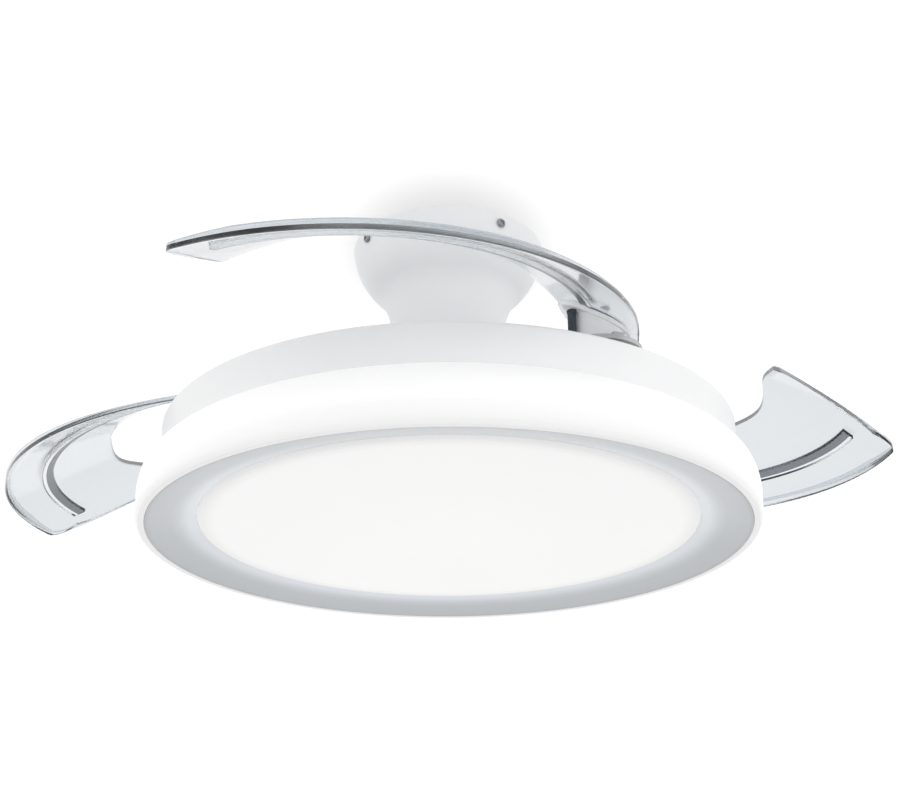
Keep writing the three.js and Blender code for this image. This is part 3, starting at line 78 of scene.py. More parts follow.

# A blade's finishes, and the strips of its section that don't have the first of them. The dark
# cut edges, the hem, the greyer turned edge and the rib's dark side are painted shade, and the
# rib's white side a painted highlight, in place of how the clear sheet refracts light. A strip is
# named by its place in the section: see close_section.
BLADE_LOOKS = ("blade_clear", "blade_edge_painted_shade", "blade_band_painted_shade", "blade_painted_highlight", "blade_rim_painted_shade")
CLEAR, PAINTED_DARK, BAND, PAINTED_HIGHLIGHT, RIM = range(5)
STRIPS = {17: RIM, 32: BAND, 33: BAND, 34: BAND, 35: PAINTED_DARK}
RIB_STRIPS = {5: PAINTED_HIGHLIGHT, 6: PAINTED_HIGHLIGHT, 7: PAINTED_DARK, 8: PAINTED_DARK}
CLEAR_IOR = 1.46
WHITE = (1.0, 1.0, 1.0, 1.0)

INNER_LOOKS = {
    "spangled_zinc": ("ceiling_bracket", "hanger_tube"),
    "plated_steel": ("hanger_cross_pin", "pan_screw_1", "pan_screw_2", "pan_screw_3"),
    "case_plastic": ("receiver_box", "terminal_block", "led_driver"),
    "turned_steel": (
        "shaft_nut", "upper_bearing_inner_race", "lower_bearing_inner_race",
        "upper_bearing_outer_race", "lower_bearing_outer_race"),
    "sheet_stack": ("stator_core",),
    "copper_enamel": ("stator_winding",),
    "ferrite": ("magnet_ring",),
    "pan_paint": ("light_pan",),
    "board_mask": ("main_led_board", "ring_led_strip"),
}

STAGE_SIZE = 12
CEILING_HEIGHT = 2.5
CEILING_PAINTED_SHADE = (0.07, 0.17, 0.7)  # the painted shade round the canopy: its start, end and depth
CEILING_PAINTED_SHADE_STRETCH = (1.45, 1.0, 1.0)  # the painted shade is narrower to the sides
CAMERA_PLACE = (0.0012, -1.1348, -0.6295)
CAMERA_PITCH = math.radians(23.37)
CAMERA_ROLL = math.radians(-0.28)
SENSOR_WIDTH = 36
FOCAL_LENGTH = 57.6
LAMP_TARGET = (0, 0, -0.16)
LAMPS = (  # name, place, size and power of each
    ("key_lamp", (-1.4, -1.9, -0.55), 1.4, 7),
    ("fill_lamp", (1.9, -1.3, -0.8), 1.6, 8),
    ("front_lamp", (0.3, -2.3, -0.1), 1.6, 6),
    ("left_lamp", (-2.2, 0.3, -0.35), 1.4, 6),
    ("right_lamp", (2.2, 0.3, -0.35), 1.4, 6),
    ("top_lamp", (0.6, 0.9, 1.8), 1.8, 10),
    ("back_lamp", (-0.6, 2.0, -0.3), 1.6, 8),
)


# ---- Sizes and colours a user would change ------------------------------------------------------
def length(name, description, millimetres):
    """A length property whose default is given in millimetres."""
    return bpy.props.FloatProperty(
        name=name, description=description, default=millimetres * MM, unit="LENGTH", precision=4)


def angle(name, description, degrees):
    """An angle property whose default is given in degrees."""
    return bpy.props.FloatProperty(
        name=name, description=description, default=math.radians(degrees), unit="ROTATION")


def count(name, description, number):
    """A whole number of facets or steps."""
    return bpy.props.IntProperty(name=name, description=description, default=number, min=3)


def colour(name, description, shade):
    """A colour property."""
    return bpy.props.FloatVectorProperty(
        name=name, description=description, default=shade, size=3, min=0, max=1, subtype="COLOR")


def ratio(name, description, number, **limits):
    """A plain number."""
    return bpy.props.FloatProperty(name=name, description=description, default=number, **limits)


class FanCanopySizes(bpy.types.PropertyGroup):
    """The bell canopy at the ceiling and its screws."""
    radius: length("Radius", "Radius of the bell's rim at the ceiling", 84)
    rim_lean: length("Rim lean", "How far the rim's curve leans in", 2)
    shoulder_radius: length("Shoulder radius", "Radius where the bell turns into its neck", 63)
    shoulder_depth: length("Shoulder depth", "Depth of that turn below the ceiling", 43)
    shoulder_pull: length("Shoulder pull", "Roundness of the bell above the turn", 9)
    flare_pull: length("Flare pull", "Roundness of the neck below the turn", 10)
    neck_radius: length("Neck radius", "Radius of the neck", 47)
    neck_pull: length("Neck pull", "How early the neck becomes straight", 29)
    depth: length("Depth", "Depth of the canopy's lower end", 110)
    wall: length("Wall", "Thickness of the canopy's sheet", 2.2)
    screw_azimuth: angle("Screw azimuth", "Direction of the first rim screw", -57)
    screw_depth: length("Screw depth", "Depth of the rim screws below the ceiling", 9)
    screw_head: length("Screw head", "Radius of a rim screw's head", 4)
    screw_height: length("Screw head height", "Height of a rim screw's head", 2.4)
    screw_seat: length("Screw seat", "Distance of the head's underside from the axis", 83)
    screw_tip: length("Screw tip", "Distance of the screw's end from the axis", 71.8)
    shank: length("Screw shank", "Radius of a rim screw's shank", 2)


class FanLampSizes(bpy.types.PropertyGroup):
    """The drum, the glowing ring under it, the inner cone and the diffuser."""
    drum_radius: length("Drum radius", "Radius of the drum's upper rim", 238.5)
    drum_top: length("Drum top", "Height of the drum's top", -184)
    crease_radius: length("Crease radius", "Radius where the drum meets the ring", 237)
    crease: length("Crease", "Height where the drum meets the ring", -216)
    drum_wall: length("Drum wall", "Thickness of the drum", 2.5)
    drum_edge: length("Drum edge", "Roundness of the drum's upper rim", 3)
    boss_distance: length("Boss distance", "Distance of the screw bosses from the axis", 207)
    boss_radius: length("Boss radius", "Radius of a screw boss", 6)
    boss_bottom: length("Boss bottom", "Height of a boss's lower end", -227.7)
    ring_radius: length("Ring radius", "Largest radius of the ring", 255)
    ring_swell: length("Ring swell", "Height where the ring is widest", -246)
    ring_bottom: length("Ring bottom", "Height of the ring's lower edge", -268)
    ring_wall: length("Ring wall", "Thickness of the ring", 2.5)
    ring_top_reach: length("Ring shoulder", "Reach of the ring's upper curve", 6)
    ring_side_rise: length("Ring side", "Rise of the ring's side curve", 16)
    lip_radius: length("Lip radius", "Inner radius of the ring's lip", 247)
    trim_inner: length("Cone inner radius", "Inner radius of the grey cone", 206)
    trim_height: length("Cone inner height", "Height of the cone's inner edge", -257)
    trim_thickness: length("Cone thickness", "Thickness of the grey cone", 1.6)
    diffuser_face: length("Diffuser face", "Radius of the diffuser's flat face", 200)
    diffuser_drop: length("Diffuser drop", "How far the face stands below its border", 5)
    diffuser_wall: length("Diffuser wall", "Thickness of the diffuser", 2.5)
    diffuser_radius: length("Diffuser radius", "Radius of the diffuser's hidden border", 214)
    clearance: length("Clearance", "Gap between neighbouring pieces", 0.3)
    facets: count("Facets", "Facets round the large turned pieces", 160)


class FanMotorSizes(bpy.types.PropertyGroup):
    """The motor's housing and cover, and the tube it hangs from."""
    radius: length("Radius", "Radius of the motor", 92)
    top: length("Top", "Height of the motor's top", -117)
    bottom: length("Bottom", "Height of the motor's bottom", -169)
    wall: length("Wall", "Thickness of the housing", 3)
    hub_radius: length("Hub radius", "Radius of the bearing seats", 25)
    bearing_radius: length("Bearing radius", "Radius of the bearings", 19.3)
    bearing_width: length("Bearing width", "Width of the bearings", 8.4)
    shaft_pass: length("Shaft pass", "Radius of the holes that the shaft passes through", 14.5)
    shaft_radius: length("Shaft radius", "Radius of the hollow shaft", 9)
    shaft_bore: length("Shaft bore", "Radius of the shaft's bore", 6)
    shaft_top: length("Shaft top", "Height of the shaft's upper end", -30)
    shaft_bottom: length("Shaft bottom", "Height of the shaft's lower end", -198.8)
    collar_radius: length("Collar radius", "Radius of the collar above the drum", 16)
    collar_bottom: length("Collar bottom", "Height of the collar's underside", -183.7)
    collar_thickness: length("Collar thickness", "Thickness of the collar", 3.5)
    disc_top: length("Carrier top", "Height of the blade carrier's top", -169.3)
    disc_thickness: length("Carrier thickness", "Thickness of the blade carrier", 3.5)
    disc_radius: length("Carrier radius", "Radius of the blade carrier's middle", 100)
    arm_half: length("Arm half width", "Half the width of a carrier arm", 26)
    arm_end: length("Arm end", "Radius of a carrier arm's round end", 32)
    window_radius: length("Window radius", "Radius of the round window in an arm", 22)
    window_distance: length("Window distance", "Distance of that window from the axis", 128)
    screw_distance: length("Screw distance", "Distance of the carrier screws from the axis", 70)
    block_length: length("Stop block length", "Length of a stop block", 10.6)
    block_width: length("Stop block width", "Width of a stop block", 9)
    block_height: length("Stop block height", "Height of a stop block above the carrier", 2.5)
    block_distance: length("Stop block distance", "Distance of the stop blocks from the hinge", 26)
    closed_stop: angle("Closed stop", "Place of the closed stop about the hinge", 210)
    open_stop: angle("Open stop", "Place of the open stop about the hinge", 345)
    facets: count("Facets", "Facets round the motor", 96)


class FanHingeSizes(bpy.types.PropertyGroup):
    """Where the blades' hinges stand, and what each is made of."""
    radius: length("Hinge radius", "Distance of each hinge from the axis", 191)
    azimuth: angle("Hinge azimuth", "Direction of the first hinge", -53.3)
    opening_1: angle("First blade", "Opening of the first blade at rest", 49)
    opening_2: angle("Second blade", "Opening of the second blade at rest", 50.9)
    opening_3: angle("Third blade", "Opening of the third blade at rest", 84.8)
    post_radius: length("Post radius", "Radius of a hinge post", 5)
    post_top: length("Post top", "Height of a post's top", -128)
    flange_radius: length("Post flange radius", "Radius of a post's flange", 9)
    flange_thickness: length("Post flange thickness", "Thickness of a post's flange", 3)
    cap_radius: length("Cap radius", "Radius of a hinge cap", 11)
    cap_top: length("Cap top", "Height of a cap's top", -125)
    hub_radius: length("Hub radius", "Radius of a blade's hub", 10)
    hub_top: length("Hub top", "Height of a hub's top", -130)
    lower_clamp: length("Lower clamp radius", "Radius of the clamp under the sheet", 24)
    lower_thickness: length("Lower clamp thickness", "Thickness of that clamp", 4)
    clamp_ear: length("Clamp ear", "How far that clamp reaches out over the stop pin", 7)
    skirt_radius: length("Skirt radius", "Radius of the skirt under that clamp", 21.5)
    skirt_wall: length("Skirt wall", "Thickness of the skirt", 2)
    skirt_bottom: length("Skirt bottom", "Height of the skirt's lower edge above the carrier", 3.8)
    upper_clamp: length("Upper clamp radius", "Radius of the clamp over the sheet", 22.5)
    upper_thickness: length("Upper clamp thickness", "Thickness of that clamp", 3)
    clamp_gap: length("Clamp gap", "Gap between the sheet and each clamp", 0.45)
    bolt_distance: length("Bolt distance", "Distance of the clamp's bolt from the hinge", 17)
    bolt_angle: angle("Bolt angle", "Direction of that bolt from the hinge", -70)
    pin_radius: length("Stop pin radius", "Radius of the rubber stop pin", 3.8)
    pin_distance: length("Stop pin distance", "Distance of the stop pin from the hinge", 26)
    pin_angle: angle("Stop pin angle", "Direction of the stop pin from the hinge", 219)
    coil_radius: length("Spring radius", "Radius of the return spring's coil", 13.2)
    wire_radius: length("Wire radius", "Radius of the spring's wire", 1.1)
    coil_pitch: length("Spring pitch", "Rise of the spring in one turn", 2.7)
    coil_turns: count("Spring turns", "Turns of the return spring", 3)


class FanBladeSizes(bpy.types.PropertyGroup):
    """A blade as it lies closed round the axis, with its hinge on the X axis."""
    outer_radius: length("Outer radius", "Radius of the outer edge", 220.9)
    eye_radius: length("Eye radius", "Radius of the round end about the hinge", 30)
    thickness: length("Thickness", "Thickness of the sheet", 3.5)
    pitch: ratio("Pitch", "Rise of the sheet for each metre inwards", 0.53)
    squareness: ratio(
        "Eye squareness", "Squareness of the eye's outer corner, where 2 is round", 5, min=2)
    tail_angle: angle("Tail angle", "Direction of the tail", -121.8)
    hook_angle: angle("Hook angle", "How far the tail's inner corner runs on", 11)
    corner_lag: angle("Corner lag", "How far the tail's outer corner is held back", 6)
    lag_start: ratio("Lag start", "Share of the length where the holding back starts", 0.8)
    hook_power: ratio("Hook power", "How late the tail's edge hooks", 2.2)
    outer_corner: length("Outer corner", "Roundness of the tail's outer corner", 21)
    inner_corner: length("Inner corner", "Roundness of the tail's inner corner", 5)
    root_edge: length("Root edge", "Height of the outer edge at the hinge", -159)
    tail_edge: length("Tail edge", "Height of the outer edge at the tail", -181.5)
    edge_sag: length("Edge sag", "Dip of the outer edge halfway along", 8)
    flange_height: length("Edge height", "Height of the upturned edge", 8.2)
    flange_thickness: length("Edge thickness", "Thickness of the upturned edge", 3)
    edge_fade: ratio(
        "Edge fade", "Share of the turned edge's height that is gone at the tail", 0.65)
    fade_start: ratio(
        "Fade start", "Share of the length where the turned edge starts to fade", 0.84)
    root_rise: ratio("Root rise", "Share of the turned edge's height that is left at the root", 0.2)
    rise_start: ratio(
        "Rise start", "Share of the length where the turned edge starts to rise", 0.12)
    rise_end: ratio("Rise end", "Share of the length where the turned edge is full", 0.5)
    # the hem's dark foot is painted shade
    hem: length("Hem", "Height of the dark foot of the turned edge", 1.2)
    rib_radius: length("Rib radius", "Outer radius of the rib", 189)
    rib_width: length("Rib width", "Width of the rib", 9.4)
    rib_depth: length("Rib depth", "Depth of the rib under the sheet", 3)
    rib_root: angle("Rib root", "Direction of the rib's root end", -12)
    rib_tail: angle("Rib tail", "Direction of the rib's tail end", -111)
    stations: count("Stations", "Sections along a blade", 110)
    round_edge: length("Edge roundness", "Roundness of a blade's edges", 0.8)


class FanColours(bpy.types.PropertyGroup):
    """Colours of the finishes and brightness of the lamp."""
    white_paint: colour("White paint", "Paint of the canopy", (0.77, 0.785, 0.8))
    white_plastic: colour(
        "White plastic", "Plastic of the drum and the clamps", (0.86, 0.865, 0.87))
    grey_cone: colour("Grey cone", "Plastic of the inner cone", (0.59, 0.617, 0.645))
    clear_tint: colour("Clear tint", "Tint of the clear blades", (0.8, 0.835, 0.865))
    # painted shade: the cut edges, the inner edge and the turned edge are darker than the clear
    # sheet
    edge_tint: colour("Edge tint", "Tint of the clear blades' cut edges", (0.07, 0.08, 0.095))
    rim_tint: colour("Rim tint", "Tint of the sheet's inner cut edge", (0.7, 0.73, 0.76))
    band_tint: colour("Band tint", "Tint of the clear blades' turned edges", (0.76, 0.8, 0.83))
    glow: colour("Glow", "Colour of the lamp's light", (1.0, 0.995, 0.99))
    copper: colour("Copper", "Enamel of the winding", (0.45, 0.16, 0.06))
    rubber: colour("Rubber", "Rubber of the stop pins", (0.055, 0.065, 0.08))
    ring_strength: ratio("Ring strength", "Brightness of the ring", 0.56, min=0)
    face_strength: ratio("Diffuser strength", "Brightness of the diffuser", 0.62, min=0)


# ---- Making pieces ------------------------------------------------------------------------------
def rest_selection():
    """Leaves edit mode with nothing selected."""
    if bpy.context.mode != "OBJECT":
        bpy.ops.object.mode_set(mode="OBJECT")
    bpy.ops.object.select_all(action="DESELECT")


def take(piece):
    """Makes this piece the only one selected, and the active one."""
    rest_selection()
    piece.select_set(True)
    bpy.context.view_layer.objects.active = piece


def discard(piece):
    """Throws a piece away."""
    take(piece)
    bpy.ops.object.delete()


def apply_modifier(piece, kind, **settings):
    """Adds one modifier to a piece and applies it."""
    take(piece)
    bpy.ops.object.modifier_add(type=kind)
    modifier = piece.modifiers[-1]
    for key, value in settings.items():
        setattr(modifier, key, value)
    bpy.ops.object.modifier_apply(modifier=modifier.name)


def combine(piece, tool, operation):
    """Cuts a tool from a piece or joins it on, and throws the tool away."""
    apply_modifier(piece, "BOOLEAN", object=tool, operation=operation, solver="EXACT")
    discard(tool)
    take(piece)


def soften(piece, width, segments=2, limit=30):
    """Rounds the sharp edges of a piece."""
    apply_modifier(
        piece, "BEVEL", width=width, segments=segments, limit_method="ANGLE",
        angle_limit=math.radians(limit))


def settle(piece, name, body, slot, look, *nodes):
    """Names a finished piece, gives it its finish, and puts it on the body that carries it."""
    take(piece)
    bpy.ops.object.transform_apply(location=True, rotation=True, scale=True)
    bpy.ops.object.shade_smooth_by_angle(angle=SMOOTH_ANGLE)
    piece.name = name
    piece.data.name = name
    if look is not None:
        piece.data.materials.clear()
        piece.data.materials.append(finish(look))
    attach(piece, body)
    if nodes:
        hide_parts(*nodes)
    rest_selection()


def deal(pattern, places, name, body, slot, look, *nodes):
    """Settles a numbered copy of a pattern at each place, and throws the pattern away.

    Where a body ends in an underscore, each copy rides on the body with its own number.
    """
    for number, place in enumerate(places, 1):
        take(pattern)
        bpy.ops.object.duplicate(linked=False)
        made = move_to(bpy.context.view_layer.objects.active, place)
        carrier = f"{body}{number}" if body.endswith("_") else body
        replaced = (f"{node}_{number}" for node in nodes)
        settle(made, f"{name}_{number}", carrier, slot, look, *replaced)
    discard(pattern)


def rounded(outline, radius, steps=4):
    """An outline with each of its corners drawn round, apart from those on the axis."""
    softened = []
    for i, corner in enumerate(outline):
        corner = Vector(corner)
        before = Vector(outline[i - 1]) - corner
        after = Vector(outline[(i + 1) % len(outline)]) - corner
        opening = before.angle(after)
        if corner.x < WELD or opening > STRAIGHT:
            softened.append(tuple(corner))
            continue
        reach = min(radius / math.tan(opening / 2), 0.45 * before.length, 0.45 * after.length)
        first = corner + before.normalized() * reach
        last = corner + after.normalized() * reach
        for step in range(steps + 1):
            t = step / steps
            softened.append(tuple(first * (1 - t) ** 2 + corner * 2 * t * (1 - t) + last * t ** 2))
    return softened


def curve_points(start, first, second, end, steps):
    """Points along a cubic curve between two ends."""
    points = []
    for step in range(steps + 1):
        t = step / steps
        weights = ((1 - t) ** 3, 3 * t * (1 - t) ** 2, 3 * t * t * (1 - t), t ** 3)
        points.append(tuple(
            sum(w * p[k] for w, p in zip(weights, (start, first, second, end))) for k in (0, 1)))
    return points


def spun(outline, facets, closed=True, centre=(0.0, 0.0)):
    """Draws an outline of (radius, height) points and spins it about an upright axis."""
    rest_selection()
    bpy.ops.mesh.primitive_plane_add(size=MM)
    piece = bpy.context.active_object
    bpy.ops.object.mode_set(mode="EDIT")
    bpy.ops.mesh.select_mode(type="VERT")
    bpy.ops.mesh.select_all(action="SELECT")
    bpy.ops.mesh.merge(type="CENTER")
    points = list(outline) + ([outline[0]] if closed else [])
    bpy.ops.transform.translate(value=(points[0][0], 0, points[0][1]))
    for here, there in zip(points, points[1:]):
        step = (there[0] - here[0], 0, there[1] - here[1])
        bpy.ops.mesh.extrude_region_move(TRANSFORM_OT_translate={"value": step})
    bpy.ops.mesh.select_all(action="SELECT")
    bpy.ops.mesh.remove_doubles(threshold=WELD)
    bpy.ops.mesh.spin(steps=facets, angle=TURN, center=(0, 0, 0), axis=(0, 0, 1))
    bpy.ops.mesh.select_all(action="SELECT")
    bpy.ops.mesh.remove_doubles(threshold=WELD)
    bpy.ops.mesh.normals_make_consistent(inside=False)
    bpy.ops.transform.translate(value=(*centre, 0))
    bpy.ops.object.mode_set(mode="OBJECT")
    return piece


def drill(radius, low, high, centre, facets=48):
    """A plain cylinder to cut or join with."""
    rest_selection()
    bpy.ops.mesh.primitive_cylinder_add(
        vertices=facets, radius=radius, depth=high - low, location=(*centre, (low + high) / 2))
    return bpy.context.active_object


def block(size, place, turn=0.0):
    """A plain block to cut or join with, turned about the upright axis through its middle."""
    rest_selection()
    bpy.ops.mesh.primitive_cube_add(size=1, location=place, rotation=(0, 0, turn))
    made = bpy.context.active_object
    made.scale = size
    bpy.ops.object.transform_apply(location=False, rotation=False, scale=True)
    return made


def move_to(piece, matrix):
    """Moves a piece's mesh by a matrix."""
    take(piece)
    bpy.ops.object.transform_apply(location=True, rotation=True, scale=True)
    piece.data.transform(matrix)
    piece.data.update()
    return piece


def round_axis(number, first):
    """Equal turns about the upright axis, from a first direction on."""
    return [Matrix.Rotation(first + i * TURN / number, 4, "Z") for i in range(number)]


def stations():
    """Turns a hinge that lies on the X axis to the place of each blade's hinge."""
    return round_axis(BLADES, bpy.context.scene.fan_hinge.azimuth)


def swung():
    """Takes what is laid out closed to where each blade stands at rest."""
    hinge = bpy.context.scene.fan_hinge
    to_hinge = Matrix.Translation((hinge.radius, 0, 0))
    return [
        turn @ to_hinge @ Matrix.Rotation(opening, 4, "Z") @ to_hinge.inverted()
        for turn, opening in zip(stations(), (hinge.opening_1, hinge.opening_2, hinge.opening_3))]


def beside_hinge(distance, direction):
    """A place at a distance and in a direction from the hinge of a blade laid out closed."""
    hinge = bpy.context.scene.fan_hinge.radius
    return (hinge + distance * math.cos(direction), distance * math.sin(direction))


def pan_screw(head_radius, head_height, shank_radius, seat, tip, centre=(0.0, 0.0)):
    """A screw that stands head up, with a domed head, a cross recess and a chamfered tip."""
    top = seat + head_height
    screw = spun([
        (0, tip),
        (shank_radius * 0.6, tip),
        (shank_radius, tip + shank_radius * 0.6),
        (shank_radius, seat),
        (head_radius, seat),
        (head_radius, seat + head_height * 0.4),
        (head_radius * 0.82, seat + head_height * 0.78),
        (head_radius * 0.45, top - head_height * 0.03),
        (0, top),
    ], 32, closed=False, centre=centre)
    width, depth = head_radius * 1.15, head_height * 0.45
    for turn in (0, math.pi / 2):
        slot = block((width, width / 4, 2 * depth), (*centre, top), turn + math.pi / 5)
        combine(screw, slot, "DIFFERENCE")
    return screw


# ---- The blade's shape --------------------------------------------------------------------------
def share_of(value, start, end):
    """How far a value has come from a start at 0 to an end at 1, and no further."""
    return max(0.0, min(1.0, (value - start) / (end - start)))


def eased(share):
    """A share that starts and ends gently."""
    return share * share * (3 - 2 * share)


def inner_edge(t):
    """(direction, radius) of the blade's inner edge, from the root at 0 to the tail at 1."""
    sizes = bpy.context.scene.fan_blade
    points = [*INNER_EDGE, (math.degrees(sizes.tail_angle - sizes.hook_angle), INNER_TIP)]
    last = len(points) - 1
    i = min(int(last * t), last)
    w = last * t - i
    near = [points[max(0, min(last, i + k))] for k in (-1, 0, 1, 2)]
    out = []
    for k in (0, 1):
        p0, p1, p2, p3 = (p[k] for p in near)
        v0, v1 = (p2 - p0) / 2, (p3 - p1) / 2
        bend = (2 * p1 - 2 * p2 + v0 + v1) * w ** 3 + (-3 * p1 + 3 * p2 - 2 * v0 - v1) * w * w
        out.append(bend + v0 * w + p1)
    return math.radians(out[0]), out[1] * MM


def sheet_height(x, y):
    """Height of the underside of the sheet over a point of the closed blade."""
    sizes = bpy.context.scene.fan_blade
    along = share_of(math.atan2(y, x), 0, sizes.tail_angle)
    edge = sizes.root_edge + (sizes.tail_edge - sizes.root_edge) * along
    edge -= 4 * sizes.edge_sag * along * (1 - along)
    return edge + sizes.pitch * (sizes.outer_radius - math.hypot(x, y))


def corner_draw(along, start, radius):
    """How far a corner of the tail is drawn in at this place along the blade."""
    into = share_of(along, start, 1)
    return radius * (1 - math.sqrt(1 - into * into))


def corner_start():
    """Where along the blade the roundness of the tail's outer corner starts."""
    sizes = bpy.context.scene.fan_blade
    return 1 - sizes.outer_corner / (sizes.outer_radius * -sizes.tail_angle)


def edge_rise(along):
    """Share of its full height that the turned edge has here: least at the root and the tail."""
    sizes = bpy.context.scene.fan_blade
    up = eased(share_of(along, sizes.rise_start, sizes.rise_end))
    risen = sizes.root_rise + (1 - sizes.root_rise) * up
    return risen - sizes.edge_fade * share_of(along, sizes.fade_start, 1)


def blade_section(along, ribbed):
    """The closed section of the sheet at one place along it, as a list of points."""
    sizes = bpy.context.scene.fan_blade
    outer = sizes.outer_radius - corner_draw(along, corner_start(), sizes.outer_corner)
    inner_angle, inner = inner_edge(along)
    inner_span = inner * (sizes.hook_angle - sizes.tail_angle)
    inner += corner_draw(along, 1 - sizes.inner_corner / inner_span, sizes.inner_corner)
    outer_angle = sizes.tail_angle * along
    lag = sizes.corner_lag * share_of(along, sizes.lag_start, 1)

    def point(across, lift, inset=0.0):
        start = outer - inset
        hooked = (inner_angle - outer_angle) * across ** sizes.hook_power
        turn = outer_angle + hooked + lag * (1 - across) ** 3
        radius = start + (inner - start) * across
        x, y = radius * math.cos(turn), radius * math.sin(turn)
        return Vector((x, y, sheet_height(x, y) + lift))

    rib = [(outer - radius) / (outer - inner)
           for radius in (sizes.rib_radius, sizes.rib_radius - sizes.rib_width)]
    depth = -sizes.rib_depth if ribbed else 0.0
    return close_section(point, rib, depth, outer - inner, edge_rise(along))


def close_section(point, rib, depth, width, rise):
    """Goes once round a section: under the sheet, back over it, and up and over its turned edge."""
    sizes = bpy.context.scene.fan_blade
    start, end = rib
    under = [point(start * k / 5, 0) for k in range(6)]
    ridge = [point(place, depth) for place in (start, start + RIB_MIDDLE * (end - start), end)]
    inwards = [point(end + (1 - end) * k / 8, 0) for k in range(9)]
    inset = sizes.flange_thickness * rise
    foot_at = inset / width if width > WELD else 0.0
    over = [point(1 - (1 - foot_at) * k / 14, sizes.thickness) for k in range(14)]
    foot = point(0, sizes.thickness, inset)
    brow = point(0, sizes.thickness + (sizes.flange_height - sizes.thickness) * rise)
    crest = Vector((foot.x, foot.y, brow.z))
    hem = point(0, min(sizes.hem, sizes.thickness))
    return [*under, *ridge, *inwards, *over, foot, crest, brow, hem]


def strip_finish(strip, ribs_beside):
    """The finish of a strip between two sections, of which none, one or both have the rib."""
    if strip in RIB_STRIPS:
        return (CLEAR, PAINTED_DARK, RIB_STRIPS[strip])[ribs_beside]
    return STRIPS.get(strip, CLEAR)


def eye_section(share_out):
    """The section of the round end at a place from the hinge, at 0, to its tip, at 1."""
    sizes = bpy.context.scene.fan_blade
    hinge = bpy.context.scene.fan_hinge.radius
    out, back = math.sin(share_out * math.pi / 2), math.cos(share_out * math.pi / 2)
    reach, half = sizes.eye_radius * out, sizes.eye_radius * back
    fuller = sizes.eye_radius * (1 - out ** sizes.squareness) ** (1 / sizes.squareness)

    def point(across, lift, inset=0.0):
        x = hinge + fuller - inset + (inset - half - fuller) * across
        return Vector((x, reach, sheet_height(x, reach) + lift))

    return close_section(point, EYE_RIB, 0.0, half + fuller, edge_rise(0) * back)


def blade_mesh():
    """One clear blade, laid out closed: a sheet with an upturned edge, a rib and a round eye."""
    sizes = bpy.context.scene.fan_blade
    loops = [(eye_section(1 - k / 20), False) for k in range(20)]
    rib = (sizes.rib_root / sizes.tail_angle, sizes.rib_tail / sizes.tail_angle)
    turn = corner_start()
    body = [turn * k / sizes.stations for k in range(sizes.stations)]
    corner = [turn + (1 - turn) * math.sin(k / 12 * math.pi / 2) for k in range(13)]
    places = [(along, rib[0] < along < rib[1]) for along in (*body, *corner)]
    for end in rib:
        places += [(end - WELD / 4, end == rib[1]), (end + WELD / 4, end == rib[0])]
    loops += [(blade_section(*place), place[1]) for place in sorted(places)]
    made = bmesh.new()
    rings = [([made.verts.new(p) for p in loop], ribbed) for loop, ribbed in loops]
    for (here, rib_here), (there, rib_there) in zip(rings, rings[1:]):
        for k in range(len(here)):
            after = (k + 1) % len(here)
            strip = made.faces.new((here[k], here[after], there[after], there[k]))
            strip.material_index = strip_finish(k, rib_here + rib_there)
    made.faces.new(rings[-1][0]).material_index = RIM
    made.faces.new(list(reversed(rings[0][0])))
    bmesh.ops.remove_doubles(made, verts=made.verts, dist=WELD)
    bmesh.ops.dissolve_degenerate(made, edges=made.edges, dist=WELD)
    bmesh.ops.recalc_face_normals(made, faces=made.faces)
    mesh = bpy.data.meshes.new("clear_blade")
    made.to_mesh(mesh)
    made.free()
    piece = bpy.data.objects.new("clear_blade", mesh)
    bpy.context.scene.collection.objects.link(piece)
    return piece


def sheet_pad(radius, low, high, ear=0.0):
    """A round plate about the hinge whose faces follow the sheet between two lifts.

    An ear draws its rim out over the stop pin.
    """
    sizes = bpy.context.scene.fan_hinge
    rest_selection()
    bpy.ops.mesh.primitive_circle_add(
        vertices=64, radius=radius, fill_type="NGON", location=(sizes.radius, 0, 0))
    pad = bpy.context.active_object
    bpy.ops.object.transform_apply(location=True, rotation=True, scale=True)
    bpy.ops.object.mode_set(mode="EDIT")
    bpy.ops.mesh.select_all(action="SELECT")
    for _ in range(4):
        bpy.ops.mesh.inset(thickness=radius / 6)
    bpy.ops.mesh.select_all(action="SELECT")
    bpy.ops.mesh.extrude_region_move(TRANSFORM_OT_translate={"value": (0, 0, high - low)})
    bpy.ops.mesh.select_all(action="SELECT")
    bpy.ops.mesh.normals_make_consistent(inside=False)
    bpy.ops.object.mode_set(mode="OBJECT")
    for vertex in pad.data.vertices:
        away = Vector((vertex.co.x - sizes.radius, vertex.co.y))
        off = abs((math.atan2(away.y, away.x) - sizes.pin_angle + math.pi) % TURN - math.pi)
        grown = away * (1 + ear / radius * eased(share_of(off, *EAR_SIDES)))
        vertex.co.x, vertex.co.y = sizes.radius + grown.x, grown.y
        vertex.co.z += sheet_height(vertex.co.x, vertex.co.y) + low
    pad.data.update()
    return pad


def skirt(low, lift):
    """A round wall about the hinge, from a level up to this lift from the sheet."""
    sizes = bpy.context.scene.fan_hinge
    outer, middle = sizes.skirt_radius, low + 1 * MM
    inner = outer - sizes.skirt_wall
    wall = spun([
        (inner, low), (outer - 0.5 * MM, low), (outer, low + 0.5 * MM), (outer, middle),
        (inner, middle)], 72, centre=(sizes.radius, 0))
    for vertex in wall.data.vertices:
        if vertex.co.z > middle - WELD:
            vertex.co.z = sheet_height(vertex.co.x, vertex.co.y) + lift
    wall.data.update()
    return wall


